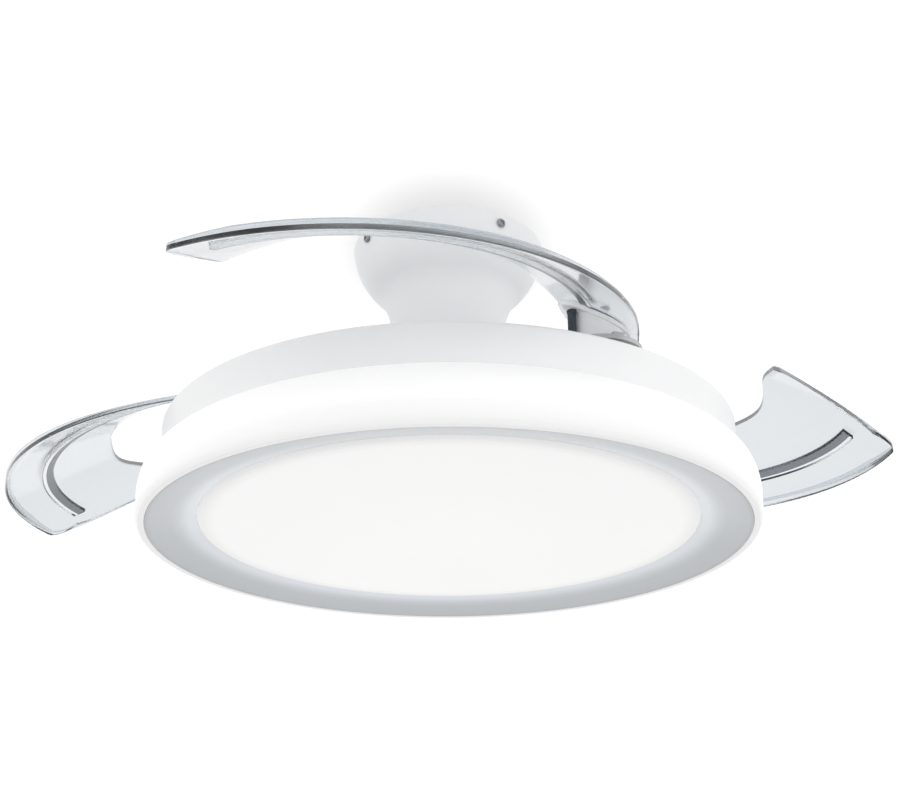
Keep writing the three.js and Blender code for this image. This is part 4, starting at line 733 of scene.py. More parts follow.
# ---- Shader parts -------------------------------------------------------------------------------
def feed(tree, node, inputs):
    """Gives the inputs of a node their values or links."""
    for key, value in inputs.items():
        if isinstance(value, bpy.types.NodeSocket):
            tree.links.new(value, node.inputs[key])
        else:
            node.inputs[key].default_value = value
    return node


def add(tree, kind, column, row, inputs=None, **settings):
    """Adds a node at a place in the sheet, with values or links for its inputs."""
    made = tree.nodes.new(kind)
    made.location = (column * 220, -row * 240)
    for key, value in settings.items():
        setattr(made, key, value)
    return feed(tree, made, inputs or {})


def coordinates(tree, column, row):
    """The object's own coordinates."""
    return add(tree, "ShaderNodeTexCoord", column, row).outputs["Object"]


def calculated(tree, column, row, operation, *values):
    """The outcome of one sum."""
    sum_node = add(
        tree, "ShaderNodeMath", column, row, dict(enumerate(values)), operation=operation)
    return sum_node.outputs[0]


def vector_sum(tree, column, row, operation, *values):
    """A node that reckons with vectors."""
    return add(
        tree, "ShaderNodeVectorMath", column, row, dict(enumerate(values)), operation=operation)


def mapped(tree, column, row, value, start, end, low=0.0, high=1.0, **settings):
    """Maps a value from between a start and an end to between two other numbers."""
    return add(tree, "ShaderNodeMapRange", column, row, {
        "Value": value, "From Min": start, "From Max": end, "To Min": low, "To Max": high,
    }, **settings).outputs[0]


def noise(tree, column, row, place, scale, detail, roughness=0.5, output="Fac"):
    """Cloudy noise."""
    return add(tree, "ShaderNodeTexNoise", column, row, {
        "Vector": place, "Scale": scale, "Detail": detail, "Roughness": roughness,
    }).outputs[output]


def blended(tree, column, row, share, first, second, blend="MIX"):
    """The colour that comes of mixing two; the node's colour sockets are picked by place."""
    return add(
        tree, "ShaderNodeMix", column, row, {0: share, 6: first, 7: second},
        data_type="RGBA", blend_type=blend).outputs[2]


def from_axis(tree, column, row, stretch=(1.0, 1.0, 0.0)):
    """The distance from the upright axis."""
    flat = vector_sum(tree, column, row, "MULTIPLY", coordinates(tree, 0, row), stretch)
    return vector_sum(tree, column + 1, row, "LENGTH", flat.outputs[0]).outputs["Value"]


def levelled(tree, column, row, value, reach, stops, shade):
    """A colour whose level changes from one end of a reach to the other."""
    share = mapped(tree, column, row, value, *reach)
    ramp = add(tree, "ShaderNodeValToRGB", column + 1, row, {0: share})
    points = ramp.color_ramp.elements
    for at, level in stops[:-2]:
        points.new(at)
    for point, (at, level) in zip(points, stops):
        point.position = at
        point.color = (*(part * level for part in shade), 1.0)
    return ramp.outputs["Color"]


def new_group(name, inputs, outputs):
    """Starts a shader node group; returns its tree, what it is given, and the node it feeds."""
    tree = bpy.data.node_groups.new(name, "ShaderNodeTree")

    def socket(key, way):
        kind = "NodeSocketColor" if key in ("Colour", "Dust") else "NodeSocketFloat"
        return tree.interface.new_socket(name=key, in_out=way, socket_type=kind)

    for key, default in inputs.items():
        socket(key, "INPUT").default_value = default
    for key in outputs:
        socket(key, "OUTPUT")
    start = add(tree, "NodeGroupInput", 0, 0)
    return tree, start.outputs, add(tree, "NodeGroupOutput", 8, 0)


def moulded_grain():
    """Fine grain and a slight mottling, for paint and moulded plastic."""
    tree, given, end = new_group(
        "moulded_grain",
        {"Colour": WHITE, "Mottle": 0.03, "Scale": 900.0, "Roughness": 0.4, "Change": 0.08},
        ("Colour", "Roughness", "Height"))
    place = coordinates(tree, 0, 2)
    broad = noise(tree, 2, 2, place, 11.0, 4.0, 0.55)
    dark = calculated(tree, 3, 2, "SUBTRACT", 1.0, given["Mottle"])
    shade = mapped(tree, 4, 2, broad, 0.0, 1.0, dark, 1.0)
    offset = calculated(tree, 4, 3, "SUBTRACT", broad, 0.5)
    feed(tree, end, {
        "Colour": blended(tree, 5, 1, 1.0, given["Colour"], shade, "MULTIPLY"),
        "Roughness": calculated(
            tree, 5, 3, "MULTIPLY_ADD", offset, given["Change"], given["Roughness"]),
        "Height": noise(tree, 2, 1, place, given["Scale"], 3.0)})
    return tree


def settled_dust():
    """Fine dust on faces that look up."""
    tree, given, end = new_group(
        "settled_dust", {"Colour": WHITE, "Dust": (0.45, 0.43, 0.4, 1.0), "Amount": 0.2},
        ("Colour", "Mask"))
    facing = add(tree, "ShaderNodeNewGeometry", 0, 3).outputs["Normal"]
    upright = add(tree, "ShaderNodeSeparateXYZ", 1, 3, {0: facing}).outputs["Z"]
    level = mapped(tree, 2, 3, upright, 0.5, 1.0)
    drift = noise(tree, 2, 2, coordinates(tree, 0, 2), 38.0, 6.0, 0.65)
    patches = mapped(tree, 3, 2, drift, 0.35, 0.75)
    both = calculated(tree, 4, 2, "MULTIPLY", patches, level)
    mask = calculated(tree, 5, 2, "MULTIPLY", both, given["Amount"])
    feed(tree, end, {
        "Colour": blended(tree, 6, 1, mask, given["Colour"], given["Dust"]), "Mask": mask})
    return tree


def metal_streaks():
    """Fine lines left by turning, drawing or brushing, with slight spots."""
    tree, given, end = new_group(
        "metal_streaks",
        {"Colour": WHITE, "Stretch": 30.0, "Scale": 60.0, "Roughness": 0.3, "Change": 0.15},
        ("Colour", "Roughness", "Height"))
    place = coordinates(tree, 0, 2)
    ratio = add(tree, "ShaderNodeCombineXYZ", 1, 3, {0: 1.0, 1: 1.0, 2: given["Stretch"]})
    drawn = vector_sum(tree, 2, 2, "MULTIPLY", place, ratio.outputs[0]).outputs[0]
    lines = noise(tree, 3, 2, drawn, given["Scale"], 5.0)
    worn = calculated(tree, 4, 2, "MULTIPLY", lines, noise(tree, 3, 3, place, 90.0, 2.0))
    shade = mapped(tree, 5, 2, worn, 0.0, 1.0, 1.08, 0.72)
    feed(tree, end, {
        "Colour": blended(tree, 6, 1, 1.0, given["Colour"], shade, "MULTIPLY"),
        "Roughness": calculated(
            tree, 6, 3, "MULTIPLY_ADD", lines, given["Change"], given["Roughness"]),
        "Height": lines})
    return tree


def handling_marks():
    """Faint wiped marks that change how sharply a glossy face reflects."""
    tree, given, end = new_group(
        "handling_marks", {"Roughness": 0.1, "Marks": 0.1, "Scale": 14.0}, ("Roughness", "Mask"))
    place = coordinates(tree, 0, 2)
    bent = noise(tree, 1, 2, place, 5.0, 2.0, output="Color")
    warped = vector_sum(tree, 2, 2, "MULTIPLY_ADD", bent, (0.3, 0.3, 0.3), place).outputs[0]
    wiped = noise(tree, 3, 2, warped, given["Scale"], 8.0, 0.7)
    mask = mapped(tree, 4, 2, wiped, 0.45, 0.75)
    feed(tree, end, {
        "Roughness": calculated(
            tree, 5, 2, "MULTIPLY_ADD", mask, given["Marks"], given["Roughness"]),
        "Mask": mask})
    return tree


def effect(tree, maker, column, row, **values):
    """Places a shared effect in a material, with that material's own values."""
    group = bpy.data.node_groups.get(maker.__name__) or maker()
    return add(tree, "ShaderNodeGroup", column, row, values, node_tree=group).outputs


def opaque(shade):
    """A colour with its alpha."""
    return (*shade, 1.0)


# ---- Finishes -----------------------------------------------------------------------------------
def emptied(holder):
    """The node tree of a material or a world, with nothing in it."""
    holder.use_nodes = True
    holder.node_tree.nodes.clear()
    return holder.node_tree


def start_material(name):
    """A material with one shader and its output."""
    made = bpy.data.materials.new(name)
    tree = emptied(made)
    shader = add(tree, "ShaderNodeBsdfPrincipled", 8, 0)
    add(tree, "ShaderNodeOutputMaterial", 10, 0, {"Surface": shader.outputs[0]})
    return made, tree, shader


def dress_shader(tree, shader, skin, dust=0.0, **constants):
    """Gives a shader the colour and roughness of a skin, under some dust or none."""
    shade = skin["Colour"]
    if dust:
        shade = effect(tree, settled_dust, 4, 1, Colour=shade, Amount=dust)["Colour"]
    feed(tree, shader, {"Base Color": shade, "Roughness": skin["Roughness"], **constants})


def raise_surface(tree, shader, height, strength, distance):
    """Lets a height change how the surface catches light."""
    bump = add(tree, "ShaderNodeBump", 7, 2, {
        "Strength": strength, "Distance": distance, "Height": height})
    feed(tree, shader, {"Normal": bump.outputs[0]})


def moulded(name, shade, roughness, mottle=0.03, scale=900.0, bump=0.08, dust=0.0):
    """Paint or moulded plastic."""
    made, tree, shader = start_material(name)
    skin = effect(
        tree, moulded_grain, 2, 0, Colour=opaque(shade), Mottle=mottle, Scale=scale,
        Roughness=roughness, Change=0.1)
    dress_shader(tree, shader, skin, dust)
    raise_surface(tree, shader, skin["Height"], bump, 0.0004)
    return made


def metal(name, shade, roughness, stretch=30.0, scale=60.0, change=0.15, bump=0.1):
    """Bare or plated metal."""
    made, tree, shader = start_material(name)
    skin = effect(
        tree, metal_streaks, 2, 0, Colour=opaque(shade), Stretch=stretch, Scale=scale,
        Roughness=roughness, Change=change)
    dress_shader(tree, shader, skin, Metallic=1.0)
    raise_surface(tree, shader, skin["Height"], bump, 0.0003)
    return made


def spangled_zinc(name):
    """Galvanised sheet, with the zinc's grains."""
    made, tree, shader = start_material(name)
    grains = add(tree, "ShaderNodeTexVoronoi", 1, 1, {
        "Vector": coordinates(tree, 0, 1), "Scale": 140.0}).outputs
    shade = add(tree, "ShaderNodeSeparateColor", 2, 1, {0: grains["Color"]}).outputs[0]
    tone = mapped(tree, 3, 1, shade, 0.0, 1.0, 0.33, 0.55)
    skin = effect(
        tree, metal_streaks, 4, 0, Colour=tone, Stretch=1.0, Scale=30.0, Roughness=0.38, Change=0.2)
    dress_shader(tree, shader, skin, Metallic=1.0)
    raise_surface(tree, shader, grains["Distance"], 0.1, 0.0002)
    return made


def cast_metal(name):
    """Cast aluminium: a dull, slightly pitted skin with a little dust on top."""
    made, tree, shader = start_material(name)
    pits = add(tree, "ShaderNodeTexVoronoi", 1, 1, {
        "Vector": coordinates(tree, 0, 1), "Scale": 700.0}, feature="SMOOTH_F1")
    skin = effect(
        tree, metal_streaks, 2, 0, Colour=(0.55, 0.56, 0.57, 1.0), Stretch=1.0, Scale=45.0,
        Roughness=0.4, Change=0.2)
    dress_shader(tree, shader, skin, 0.25, Metallic=0.85)
    raise_surface(tree, shader, pits.outputs["Distance"], 0.25, 0.0004)
    return made


def lit_plastic(name, shade, strength, upwards, reach, stops):
    """Opal plastic lit from behind, whose light changes over a reach upwards or outwards."""
    made, tree, shader = start_material(name)
    if upwards:
        along = add(tree, "ShaderNodeSeparateXYZ", 1, 1, {0: coordinates(tree, 0, 1)}).outputs["Z"]
    else:
        along = from_axis(tree, 1, 1)
    glow = levelled(tree, 3, 1, along, reach, stops, bpy.context.scene.fan_colours.glow)
    skin = effect(
        tree, moulded_grain, 4, 3, Colour=opaque(shade), Mottle=0.02, Scale=1200.0,
        Roughness=0.42, Change=0.1)
    dress_shader(tree, shader, skin)
    feed(tree, shader, {"Emission Color": glow, "Emission Strength": strength})
    raise_surface(tree, shader, skin["Height"], 0.04, 0.0003)
    return made


def cone_plastic(name, shade, reach, stops):
    """The grey cone round the diffuser, with painted light near the diffuser and painted shade at
    the lip.
    """
    made, tree, shader = start_material(name)
    tone = levelled(tree, 3, 1, from_axis(tree, 1, 1), reach, stops, shade)
    skin = effect(
        tree, moulded_grain, 5, 1, Colour=tone, Mottle=0.04, Scale=1500.0, Roughness=0.2,
        Change=0.1)
    dress_shader(tree, shader, skin)
    raise_surface(tree, shader, skin["Height"], 0.05, 0.0002)
    return made


def clear_plastic(name, tint, roughness):
    """Clear plastic with faint marks, which lets light through to what lies behind it."""
    made, tree, shader = start_material(name)
    grain = effect(
        tree, moulded_grain, 2, 0, Colour=opaque(tint), Mottle=0.02, Scale=60.0,
        Roughness=roughness, Change=0.02)
    handled = effect(tree, handling_marks, 2, 1, Roughness=roughness, Marks=0.05, Scale=9.0)
    feed(tree, shader, {
        "Base Color": grain["Colour"], "Roughness": handled["Roughness"],
        "Transmission Weight": 1.0, "IOR": CLEAR_IOR})
    rays = add(tree, "ShaderNodeLightPath", 8, 3)
    open_way = add(tree, "ShaderNodeBsdfTransparent", 8, 2, {"Color": (0.93, 0.94, 0.95, 1.0)})
    mixed = add(tree, "ShaderNodeMixShader", 9, 0, {
        0: rays.outputs["Is Shadow Ray"], 1: shader.outputs[0], 2: open_way.outputs[0]})
    output = next(node for node in tree.nodes if node.type == "OUTPUT_MATERIAL")
    feed(tree, output, {"Surface": mixed.outputs[0]})
    return made


def cut_edge(name, dark, pale, clearness):
    """The cut edge of clear plastic: painted shade, dark from outside, and pale where seen through
    the sheet.
    """
    made, tree, shader = start_material(name)
    side = add(tree, "ShaderNodeNewGeometry", 0, 1).outputs["Backfacing"]
    tone = blended(tree, 2, 0, side, opaque(dark), opaque(pale))
    skin = effect(
        tree, moulded_grain, 4, 0, Colour=tone, Mottle=0.05, Scale=200.0, Roughness=0.25,
        Change=0.05)
    dress_shader(tree, shader, skin)
    feed(tree, shader, {"Transmission Weight": clearness, "IOR": CLEAR_IOR})
    return made


# Each finish by its name, made from that name, the scene's colours and the lamp's sizes.
FINISHES = {
    "canopy_paint": lambda name, own, lamp: moulded(
        name, own.white_paint, 0.4, scale=1100.0, dust=0.12),
    "drum_white": lambda name, own, lamp: moulded(
        name, own.white_plastic, 0.38, scale=1300.0, bump=0.05, dust=0.25),
    # painted light: the clamps and caps are a lighter white than the drum's plastic, to lift the
    # shade they lie in
    "clamp_white_painted_light": lambda name, own, lamp: moulded(
        name, (0.95, 0.955, 0.96), 0.45, scale=1000.0, bump=0.05, dust=0.1),
    "pan_paint": lambda name, own, lamp: moulded(name, (0.78, 0.78, 0.78), 0.5, scale=800.0),
    "case_plastic": lambda name, own, lamp: moulded(
        name, (0.7, 0.7, 0.67), 0.55, mottle=0.06, scale=600.0, bump=0.15),
    "board_mask": lambda name, own, lamp: moulded(
        name, (0.85, 0.85, 0.8), 0.45, mottle=0.04, scale=400.0, bump=0.05),
    "ferrite": lambda name, own, lamp: moulded(
        name, (0.045, 0.047, 0.05), 0.6, mottle=0.2, scale=500.0, bump=0.3),
    "soft_rubber": lambda name, own, lamp: moulded(
        name, own.rubber, 0.75, mottle=0.15, scale=700.0, bump=0.3, dust=0.1),
    "floor_pale": lambda name, own, lamp: moulded(
        name, (0.82, 0.82, 0.82), 0.7, mottle=0.04, scale=40.0, bump=0.03),
    "copper_enamel": lambda name, own, lamp: metal(
        name, own.copper, 0.3, stretch=60.0, scale=90.0, bump=0.6),
    "plated_steel": lambda name, own, lamp: metal(
        name, (0.3, 0.31, 0.33), 0.16, scale=80.0, change=0.12, bump=0.05),
    "turned_steel": lambda name, own, lamp: metal(
        name, (0.56, 0.57, 0.59), 0.24, stretch=45.0, scale=45.0),
    "spring_wire": lambda name, own, lamp: metal(
        name, (0.36, 0.37, 0.39), 0.3, stretch=1.0, scale=200.0, bump=0.15),
    "sheet_stack": lambda name, own, lamp: metal(
        name, (0.16, 0.165, 0.17), 0.45, stretch=80.0, scale=25.0, bump=0.5),
    "spangled_zinc": lambda name, own, lamp: spangled_zinc(name),
    "cast_metal": lambda name, own, lamp: cast_metal(name),
    # painted light and shade: the cone's colour is lighter near the diffuser and darker at its lip
    "cone_grey_painted_light": lambda name, own, lamp: cone_plastic(
        name, own.grey_cone, (lamp.trim_inner, lamp.lip_radius),
        ((0.0, 1.5), (0.16, 1.4), (0.35, 1.12), (0.5, 1.0), (0.9, 0.95), (1.0, 0.78))),
    "ring_glow": lambda name, own, lamp: lit_plastic(
        name, (0.44, 0.44, 0.445), own.ring_strength, True, (lamp.ring_bottom, lamp.crease),
        ((0.0, 0.72), (0.15, 0.85), (0.5, 1.0), (0.75, 0.95), (1.0, 0.85))),
    "face_glow": lambda name, own, lamp: lit_plastic(
        name, (0.3, 0.3, 0.3), own.face_strength, False, (0.0, lamp.trim_inner),
        ((0.0, 1.0), (0.93, 0.98), (1.0, 0.8))),
    "blade_clear": lambda name, own, lamp: clear_plastic(name, own.clear_tint, 0.06),
    # painted shade: a greyer copy of the clear plastic on the turned edge
    "blade_band_painted_shade": lambda name, own, lamp: clear_plastic(name, own.band_tint, 0.1),
    # painted highlight: a white copy of the clear plastic on the rib's outer side
    "blade_painted_highlight": lambda name, own, lamp: clear_plastic(name, (1.0, 1.0, 1.0), 0.1),
    # painted shade: the cut edges are dark from outside
    "blade_edge_painted_shade": lambda name, own, lamp: cut_edge(name, own.edge_tint, own.clear_tint, 0.85),
    "blade_rim_painted_shade": lambda name, own, lamp: cut_edge(name, own.rim_tint, own.clear_tint, 0.6),
}


def finish(name):
    """One finish by its name, made when it is first asked for."""
    scene = bpy.context.scene
    return bpy.data.materials.get(name) or FINISHES[name](name, scene.fan_colours, scene.fan_lamp)


# ---- Canopy -------------------------------------------------------------------------------------
def bell(sizes, inset):
    """The bell's outline from the ceiling down, set in by the wall or not."""
    turn = (sizes.shoulder_radius - inset, -sizes.shoulder_depth)
    neck = sizes.neck_radius - inset
    upper = curve_points(
        (sizes.radius - inset, 0),
        (sizes.radius - sizes.rim_lean - inset, -sizes.shoulder_depth / 2),
        (turn[0] + sizes.shoulder_pull, turn[1] + sizes.shoulder_pull), turn, 18)
    lower = curve_points(
        turn, (turn[0] - sizes.flare_pull, turn[1] - sizes.flare_pull),
        (neck, turn[1] - sizes.neck_pull), (neck, -sizes.depth), 18)
    return upper + lower[1:]


def rim_places():
    """Takes what stands on end at the axis to the place of each screw in the canopy's rim."""
    sizes = bpy.context.scene.fan_canopy
    lying = Matrix.Translation((0, 0, -sizes.screw_depth)) @ Matrix.Rotation(math.pi / 2, 4, "Y")
    return [turn @ lying for turn in round_axis(CANOPY_SCREWS, sizes.screw_azimuth)]


class FAN_OT_canopy(bpy.types.Operator):
    """Make the bell canopy that closes against the ceiling"""
    bl_idname = "fan.canopy"
    bl_label = "Bell canopy"

    def execute(self, context):
        sizes = context.scene.fan_canopy
        canopy = spun(bell(sizes, 0) + list(reversed(bell(sizes, sizes.wall))), 128)
        for place in rim_places():
            hole = drill(sizes.shank + GAP, *RIM_HOLE_SPAN, (0, 0), 24)
            combine(canopy, move_to(hole, place), "DIFFERENCE")
        soften(canopy, 0.5 * MM, 2, 60)
        settle(canopy, "bell_canopy", "fixed", "white_paint", "canopy_paint", "canopy")
        return {"FINISHED"}


class FAN_OT_canopy_screws(bpy.types.Operator):
    """Make the plated screws round the canopy's rim"""
    bl_idname = "fan.canopy_screws"
    bl_label = "Canopy screws"

    def execute(self, context):
        sizes = context.scene.fan_canopy
        pattern = pan_screw(
            sizes.screw_head, sizes.screw_height, sizes.shank, sizes.screw_seat, sizes.screw_tip)
        deal(pattern, rim_places(), "rim_screw", "fixed", "bright_steel", "plated_steel",
             "canopy_screw")
        return {"FINISHED"}


# ---- Lamp ---------------------------------------------------------------------------------------
class FAN_OT_drum(bpy.types.Operator):
    """Make the shallow drum over the ring, with its screw bosses"""
    bl_idname = "fan.drum"
    bl_label = "Drum"

    def execute(self, context):
        sizes = context.scene.fan_lamp
        shaft = context.scene.fan_motor.shaft_radius + sizes.clearance
        top, edge, outer = sizes.drum_top, sizes.drum_edge, sizes.drum_radius
        low = top - sizes.drum_wall
        rim = curve_points(
            (outer, top - edge), (outer, top - edge * 0.4), (outer - edge * 0.4, top),
            (outer - edge, top), 6)
        drum = spun([
            (shaft, low),
            (outer - sizes.drum_wall - edge, low),
            (outer - sizes.drum_wall, low - edge),
            (sizes.crease_radius - sizes.drum_wall, sizes.crease),
            (sizes.crease_radius - 0.6 * MM, sizes.crease),
            (sizes.crease_radius, sizes.crease + 0.6 * MM),
            *rim, *((radius, top) for radius in DRUM_TOP_RINGS), (shaft, top),
        ], sizes.facets)
        settle(drum, "drum", "fixed", "white_plastic", "drum_white", "drum_shell")
        boss = spun(rounded([
            (SCREW_HOLE, sizes.boss_bottom), (sizes.boss_radius, sizes.boss_bottom),
            (sizes.boss_radius, low), (SCREW_HOLE, low),
        ], 0.6 * MM), 32, centre=(sizes.boss_distance, 0))
        deal(boss, round_axis(PAN_SCREWS, PAN_SCREW_AZIMUTH), "drum_boss", "fixed",
             "white_plastic", "drum_white")
        return {"FINISHED"}


class FAN_OT_glow_ring(bpy.types.Operator):
    """Make the bulging ring that glows round the lamp"""
    bl_idname = "fan.glow_ring"
    bl_label = "Glowing ring"

    def execute(self, context):
        sizes = context.scene.fan_lamp
        seat = sizes.crease - sizes.clearance
        outer, wall, bottom = sizes.ring_radius, sizes.ring_wall, sizes.ring_bottom
        swell = curve_points(
            (sizes.crease_radius, seat),
            (outer - sizes.ring_top_reach, seat - sizes.ring_top_reach / 2),
            (outer, sizes.ring_swell + sizes.ring_side_rise), (outer, sizes.ring_swell), 20)
        inside = [(radius - wall, height) for radius, height in reversed(swell)]
        foot = rounded([
            (outer, sizes.ring_swell),
            (outer - 0.5 * MM, bottom + 4 * MM),
            (outer - 3 * MM, bottom),
            (sizes.lip_radius, bottom),
            (sizes.lip_radius, bottom + wall),
            (outer - wall - 0.5 * MM, bottom + wall),
        ], 2.2 * MM, 5)
        ends = [p for p in foot if p[1] < sizes.ring_swell - 1 * MM]
        ring = spun([*inside, *swell, *ends], sizes.facets)
        settle(ring, "light_ring", "fixed", "opal_plastic", "ring_glow", "glow_ring")
        return {"FINISHED"}


class FAN_OT_cone(bpy.types.Operator):
    """Make the grey cone between the ring's lip and the diffuser"""
    bl_idname = "fan.cone"
    bl_label = "Grey cone"

    def execute(self, context):
        sizes = context.scene.fan_lamp
        inner, outer = sizes.trim_inner, sizes.lip_radius - sizes.clearance
        shelf = sizes.ring_bottom + sizes.ring_wall + sizes.clearance
        inner_top = sizes.trim_height + sizes.trim_thickness + 1 * MM
        cone = spun(rounded([
            (inner, sizes.trim_height),
            (outer, sizes.ring_bottom + 0.5 * MM),
            (outer, shelf),
            (outer + 4 * MM, shelf),
            (outer + 4 * MM, shelf + sizes.trim_thickness),
            (outer - 1 * MM, shelf + sizes.trim_thickness),
            (inner + 2 * MM, inner_top),
            (inner, inner_top),
        ], 0.5 * MM, 3), sizes.facets)
        settle(cone, "grey_cone", "fixed", "grey_trim", "cone_grey_painted_light", "inner_trim")
        return {"FINISHED"}


class FAN_OT_diffuser(bpy.types.Operator):
    """Make the opal diffuser with its raised edge"""
    bl_idname = "fan.diffuser"
    bl_label = "Diffuser"

    def execute(self, context):
        sizes = context.scene.fan_lamp
        border = sizes.trim_height + sizes.trim_thickness + 1 * MM + sizes.clearance
        face = border - sizes.diffuser_drop
        dish = sizes.trim_inner - sizes.clearance
        flat, outer, wall = sizes.diffuser_face, sizes.diffuser_radius, sizes.diffuser_wall
        edge = curve_points(
            (flat, face), (dish - 1.5 * MM, face), (dish, face + 1 * MM),
            (dish, face + 3.5 * MM), 8)
        disc = spun([
            (0, face),
            (flat / 2, face),
            *edge,
            (dish, border),
            (outer - 0.4 * MM, border),
            (outer, border + 0.4 * MM),
            (outer, border + wall - 0.4 * MM),
            (outer - 0.4 * MM, border + wall),
            (dish - wall, border + wall),
            (flat - 1 * MM, face + wall),
            (flat / 2, face + wall),
            (0, face + wall),
        ], sizes.facets, closed=False)
        settle(disc, "opal_disc", "fixed", "opal_plastic", "face_glow", "diffuser")
        return {"FINISHED"}


# ---- Motor and carrier --------------------------------------------------------------------------
def carrier_screws():
    """Takes what stands at the axis to the place of each screw of the blade carrier."""
    out = Matrix.Translation((bpy.context.scene.fan_motor.screw_distance, 0, 0))
    return [turn @ Matrix.Rotation(TURN / BLADES / 2, 4, "Z") @ out for turn in stations()]


class FAN_OT_motor(bpy.types.Operator):
    """Make the motor's housing and cover and the hollow shaft"""
    bl_idname = "fan.motor"
    bl_label = "Motor"

    def execute(self, context):
        sizes = context.scene.fan_motor
        gap = context.scene.fan_lamp.clearance
        self.housing(sizes, gap)
        self.cover(sizes, gap)
        self.shaft(sizes)
        return {"FINISHED"}

    @staticmethod
    def housing(sizes, gap):
        """The can, with its cooling grooves and the seat of the upper bearing."""
        outer, hub, top, shaft = sizes.radius, sizes.hub_radius, sizes.top, sizes.shaft_pass
        under = top - sizes.wall
        seat = under - gap - sizes.bearing_width
        inner = outer - sizes.wall
        joint = sizes.bottom + sizes.wall + gap
        shoulder = curve_points(
            (outer, top - 9 * MM), (outer, top - 3 * MM), (outer - 3 * MM, top),
            (outer - 9 * MM, top), 8)
        grooves = []
        for k in range(GROOVES):
            height = joint + (7 + 5 * k) * MM
            grooves += [
                (outer, height), (outer - 0.7 * MM, height + 0.5 * MM),
                (outer - 0.7 * MM, height + 1.3 * MM), (outer, height + 1.8 * MM)]
        housing = spun([
            (shaft, under), (sizes.bearing_radius, under), (sizes.bearing_radius, seat),
            (hub, seat), (hub, under), (inner, under), (inner, joint),
            (outer - 0.5 * MM, joint), (outer, joint + 0.5 * MM), *grooves, *shoulder,
            (hub + 14 * MM, top), (hub + 12 * MM, top - 0.8 * MM), (hub + 2 * MM, top - 0.8 * MM),
            (hub, top), (shaft + 0.6 * MM, top), (shaft, top - 0.6 * MM),
        ], sizes.facets)
        settle(housing, "motor_can", "rotor", "cast_aluminium", "cast_metal", "rotor_housing")

    @staticmethod
    def cover(sizes, gap):
        """The cover under the can, with the seat of the lower bearing and the screw holes."""
        hub, bearing, shaft = sizes.hub_radius, sizes.bearing_radius, sizes.shaft_pass
        bottom, inside = sizes.bottom, sizes.bottom + sizes.wall
        seat = bottom - sizes.wall + gap
        lip = seat - gap - 1.6 * MM
        cover = spun(rounded([
            (shaft, lip), (hub, lip), (hub, bottom), (sizes.radius, bottom),
            (sizes.radius, inside), (hub, inside), (hub, seat + sizes.bearing_width),
            (bearing, seat + sizes.bearing_width), (bearing, seat - gap), (shaft, seat - gap),
        ], 0.4 * MM, 2), sizes.facets)
        for place in carrier_screws():
            combine(cover, drill(SCREW_HOLE, lip, 0, place.translation.xy, 24), "DIFFERENCE")
        settle(cover, "motor_cover", "rotor", "cast_aluminium", "cast_metal", "rotor_cover")

    @staticmethod
    def shaft(sizes):
        """The hollow shaft, with its collar and the hole for the cross pin."""
        collar_top = sizes.collar_bottom + sizes.collar_thickness
        shaft = spun(rounded([
            (sizes.shaft_bore, sizes.shaft_bottom), (sizes.shaft_radius, sizes.shaft_bottom),
            (sizes.shaft_radius, sizes.collar_bottom), (sizes.collar_radius, sizes.collar_bottom),
            (sizes.collar_radius, collar_top), (sizes.shaft_radius, collar_top),
            (sizes.shaft_radius, sizes.shaft_top), (sizes.shaft_bore, sizes.shaft_top),
        ], 0.4 * MM, 2), 48)
        pin_hole = drill(2.8 * MM, -0.02, 0.02, (0, 0), 24)
        across = Matrix.Translation((0, 0, CROSS_PIN)) @ Matrix.Rotation(math.pi / 2, 4, "Y")
        combine(shaft, move_to(pin_hole, across), "DIFFERENCE")
        settle(shaft, "spindle_tube", "fixed", "bright_steel", "turned_steel", "hollow_shaft")


class FAN_OT_carrier(bpy.types.Operator):
    """Make the plate that carries the blades, with its screws and stops"""
    bl_idname = "fan.carrier"
    bl_label = "Blade carrier"

    def execute(self, context):
        sizes = context.scene.fan_motor
        hinge = context.scene.fan_hinge.radius
        top = sizes.disc_top
        low = top - sizes.disc_thickness
        through = (low - 1 * MM, top + 1 * MM)
        arm_root = sizes.disc_radius - 20 * MM
        plate = drill(sizes.disc_radius, low, top, (0, 0), 120)
        for turn, screw in zip(stations(), carrier_screws()):
            arm = block(
                (hinge - arm_root, 2 * sizes.arm_half, top - low),
                ((hinge + arm_root) / 2, 0, (top + low) / 2))
            combine(plate, move_to(arm, turn), "UNION")
            combine(plate, move_to(drill(sizes.arm_end, low, top, (hinge, 0), 72), turn), "UNION")
            for at in (sizes.closed_stop, sizes.open_stop):
                height = sizes.block_height + 1 * MM
                stop = block(
                    (sizes.block_length, sizes.block_width, height),
                    (sizes.block_distance, 0, top - 1 * MM + height / 2))
                place = turn @ Matrix.Translation((hinge, 0, 0)) @ Matrix.Rotation(at, 4, "Z")
                combine(plate, move_to(stop, place), "UNION")
            window = drill(sizes.window_radius, *through, (sizes.window_distance, 0), 64)
            combine(plate, move_to(window, turn), "DIFFERENCE")
            combine(plate, move_to(drill(SCREW_HOLE, *through, (0, 0), 24), screw), "DIFFERENCE")
        combine(plate, drill(sizes.hub_radius + GAP, *through, (0, 0), 96), "DIFFERENCE")
        soften(plate, 0.5 * MM, 2, 40)
        settle(plate, "carrier_plate", "rotor", "cast_aluminium", "cast_metal", "blade_disc")
        upside = Matrix.Translation((0, 0, low - GAP)) @ Matrix.Rotation(math.pi, 4, "X")
        deal(pan_screw(4.5 * MM, 2.4 * MM, 2 * MM, 0, -7.1 * MM),
             [place @ upside for place in carrier_screws()],
             "carrier_screw", "rotor", "bright_steel", "plated_steel", "disc_screw")
        return {"FINISHED"}


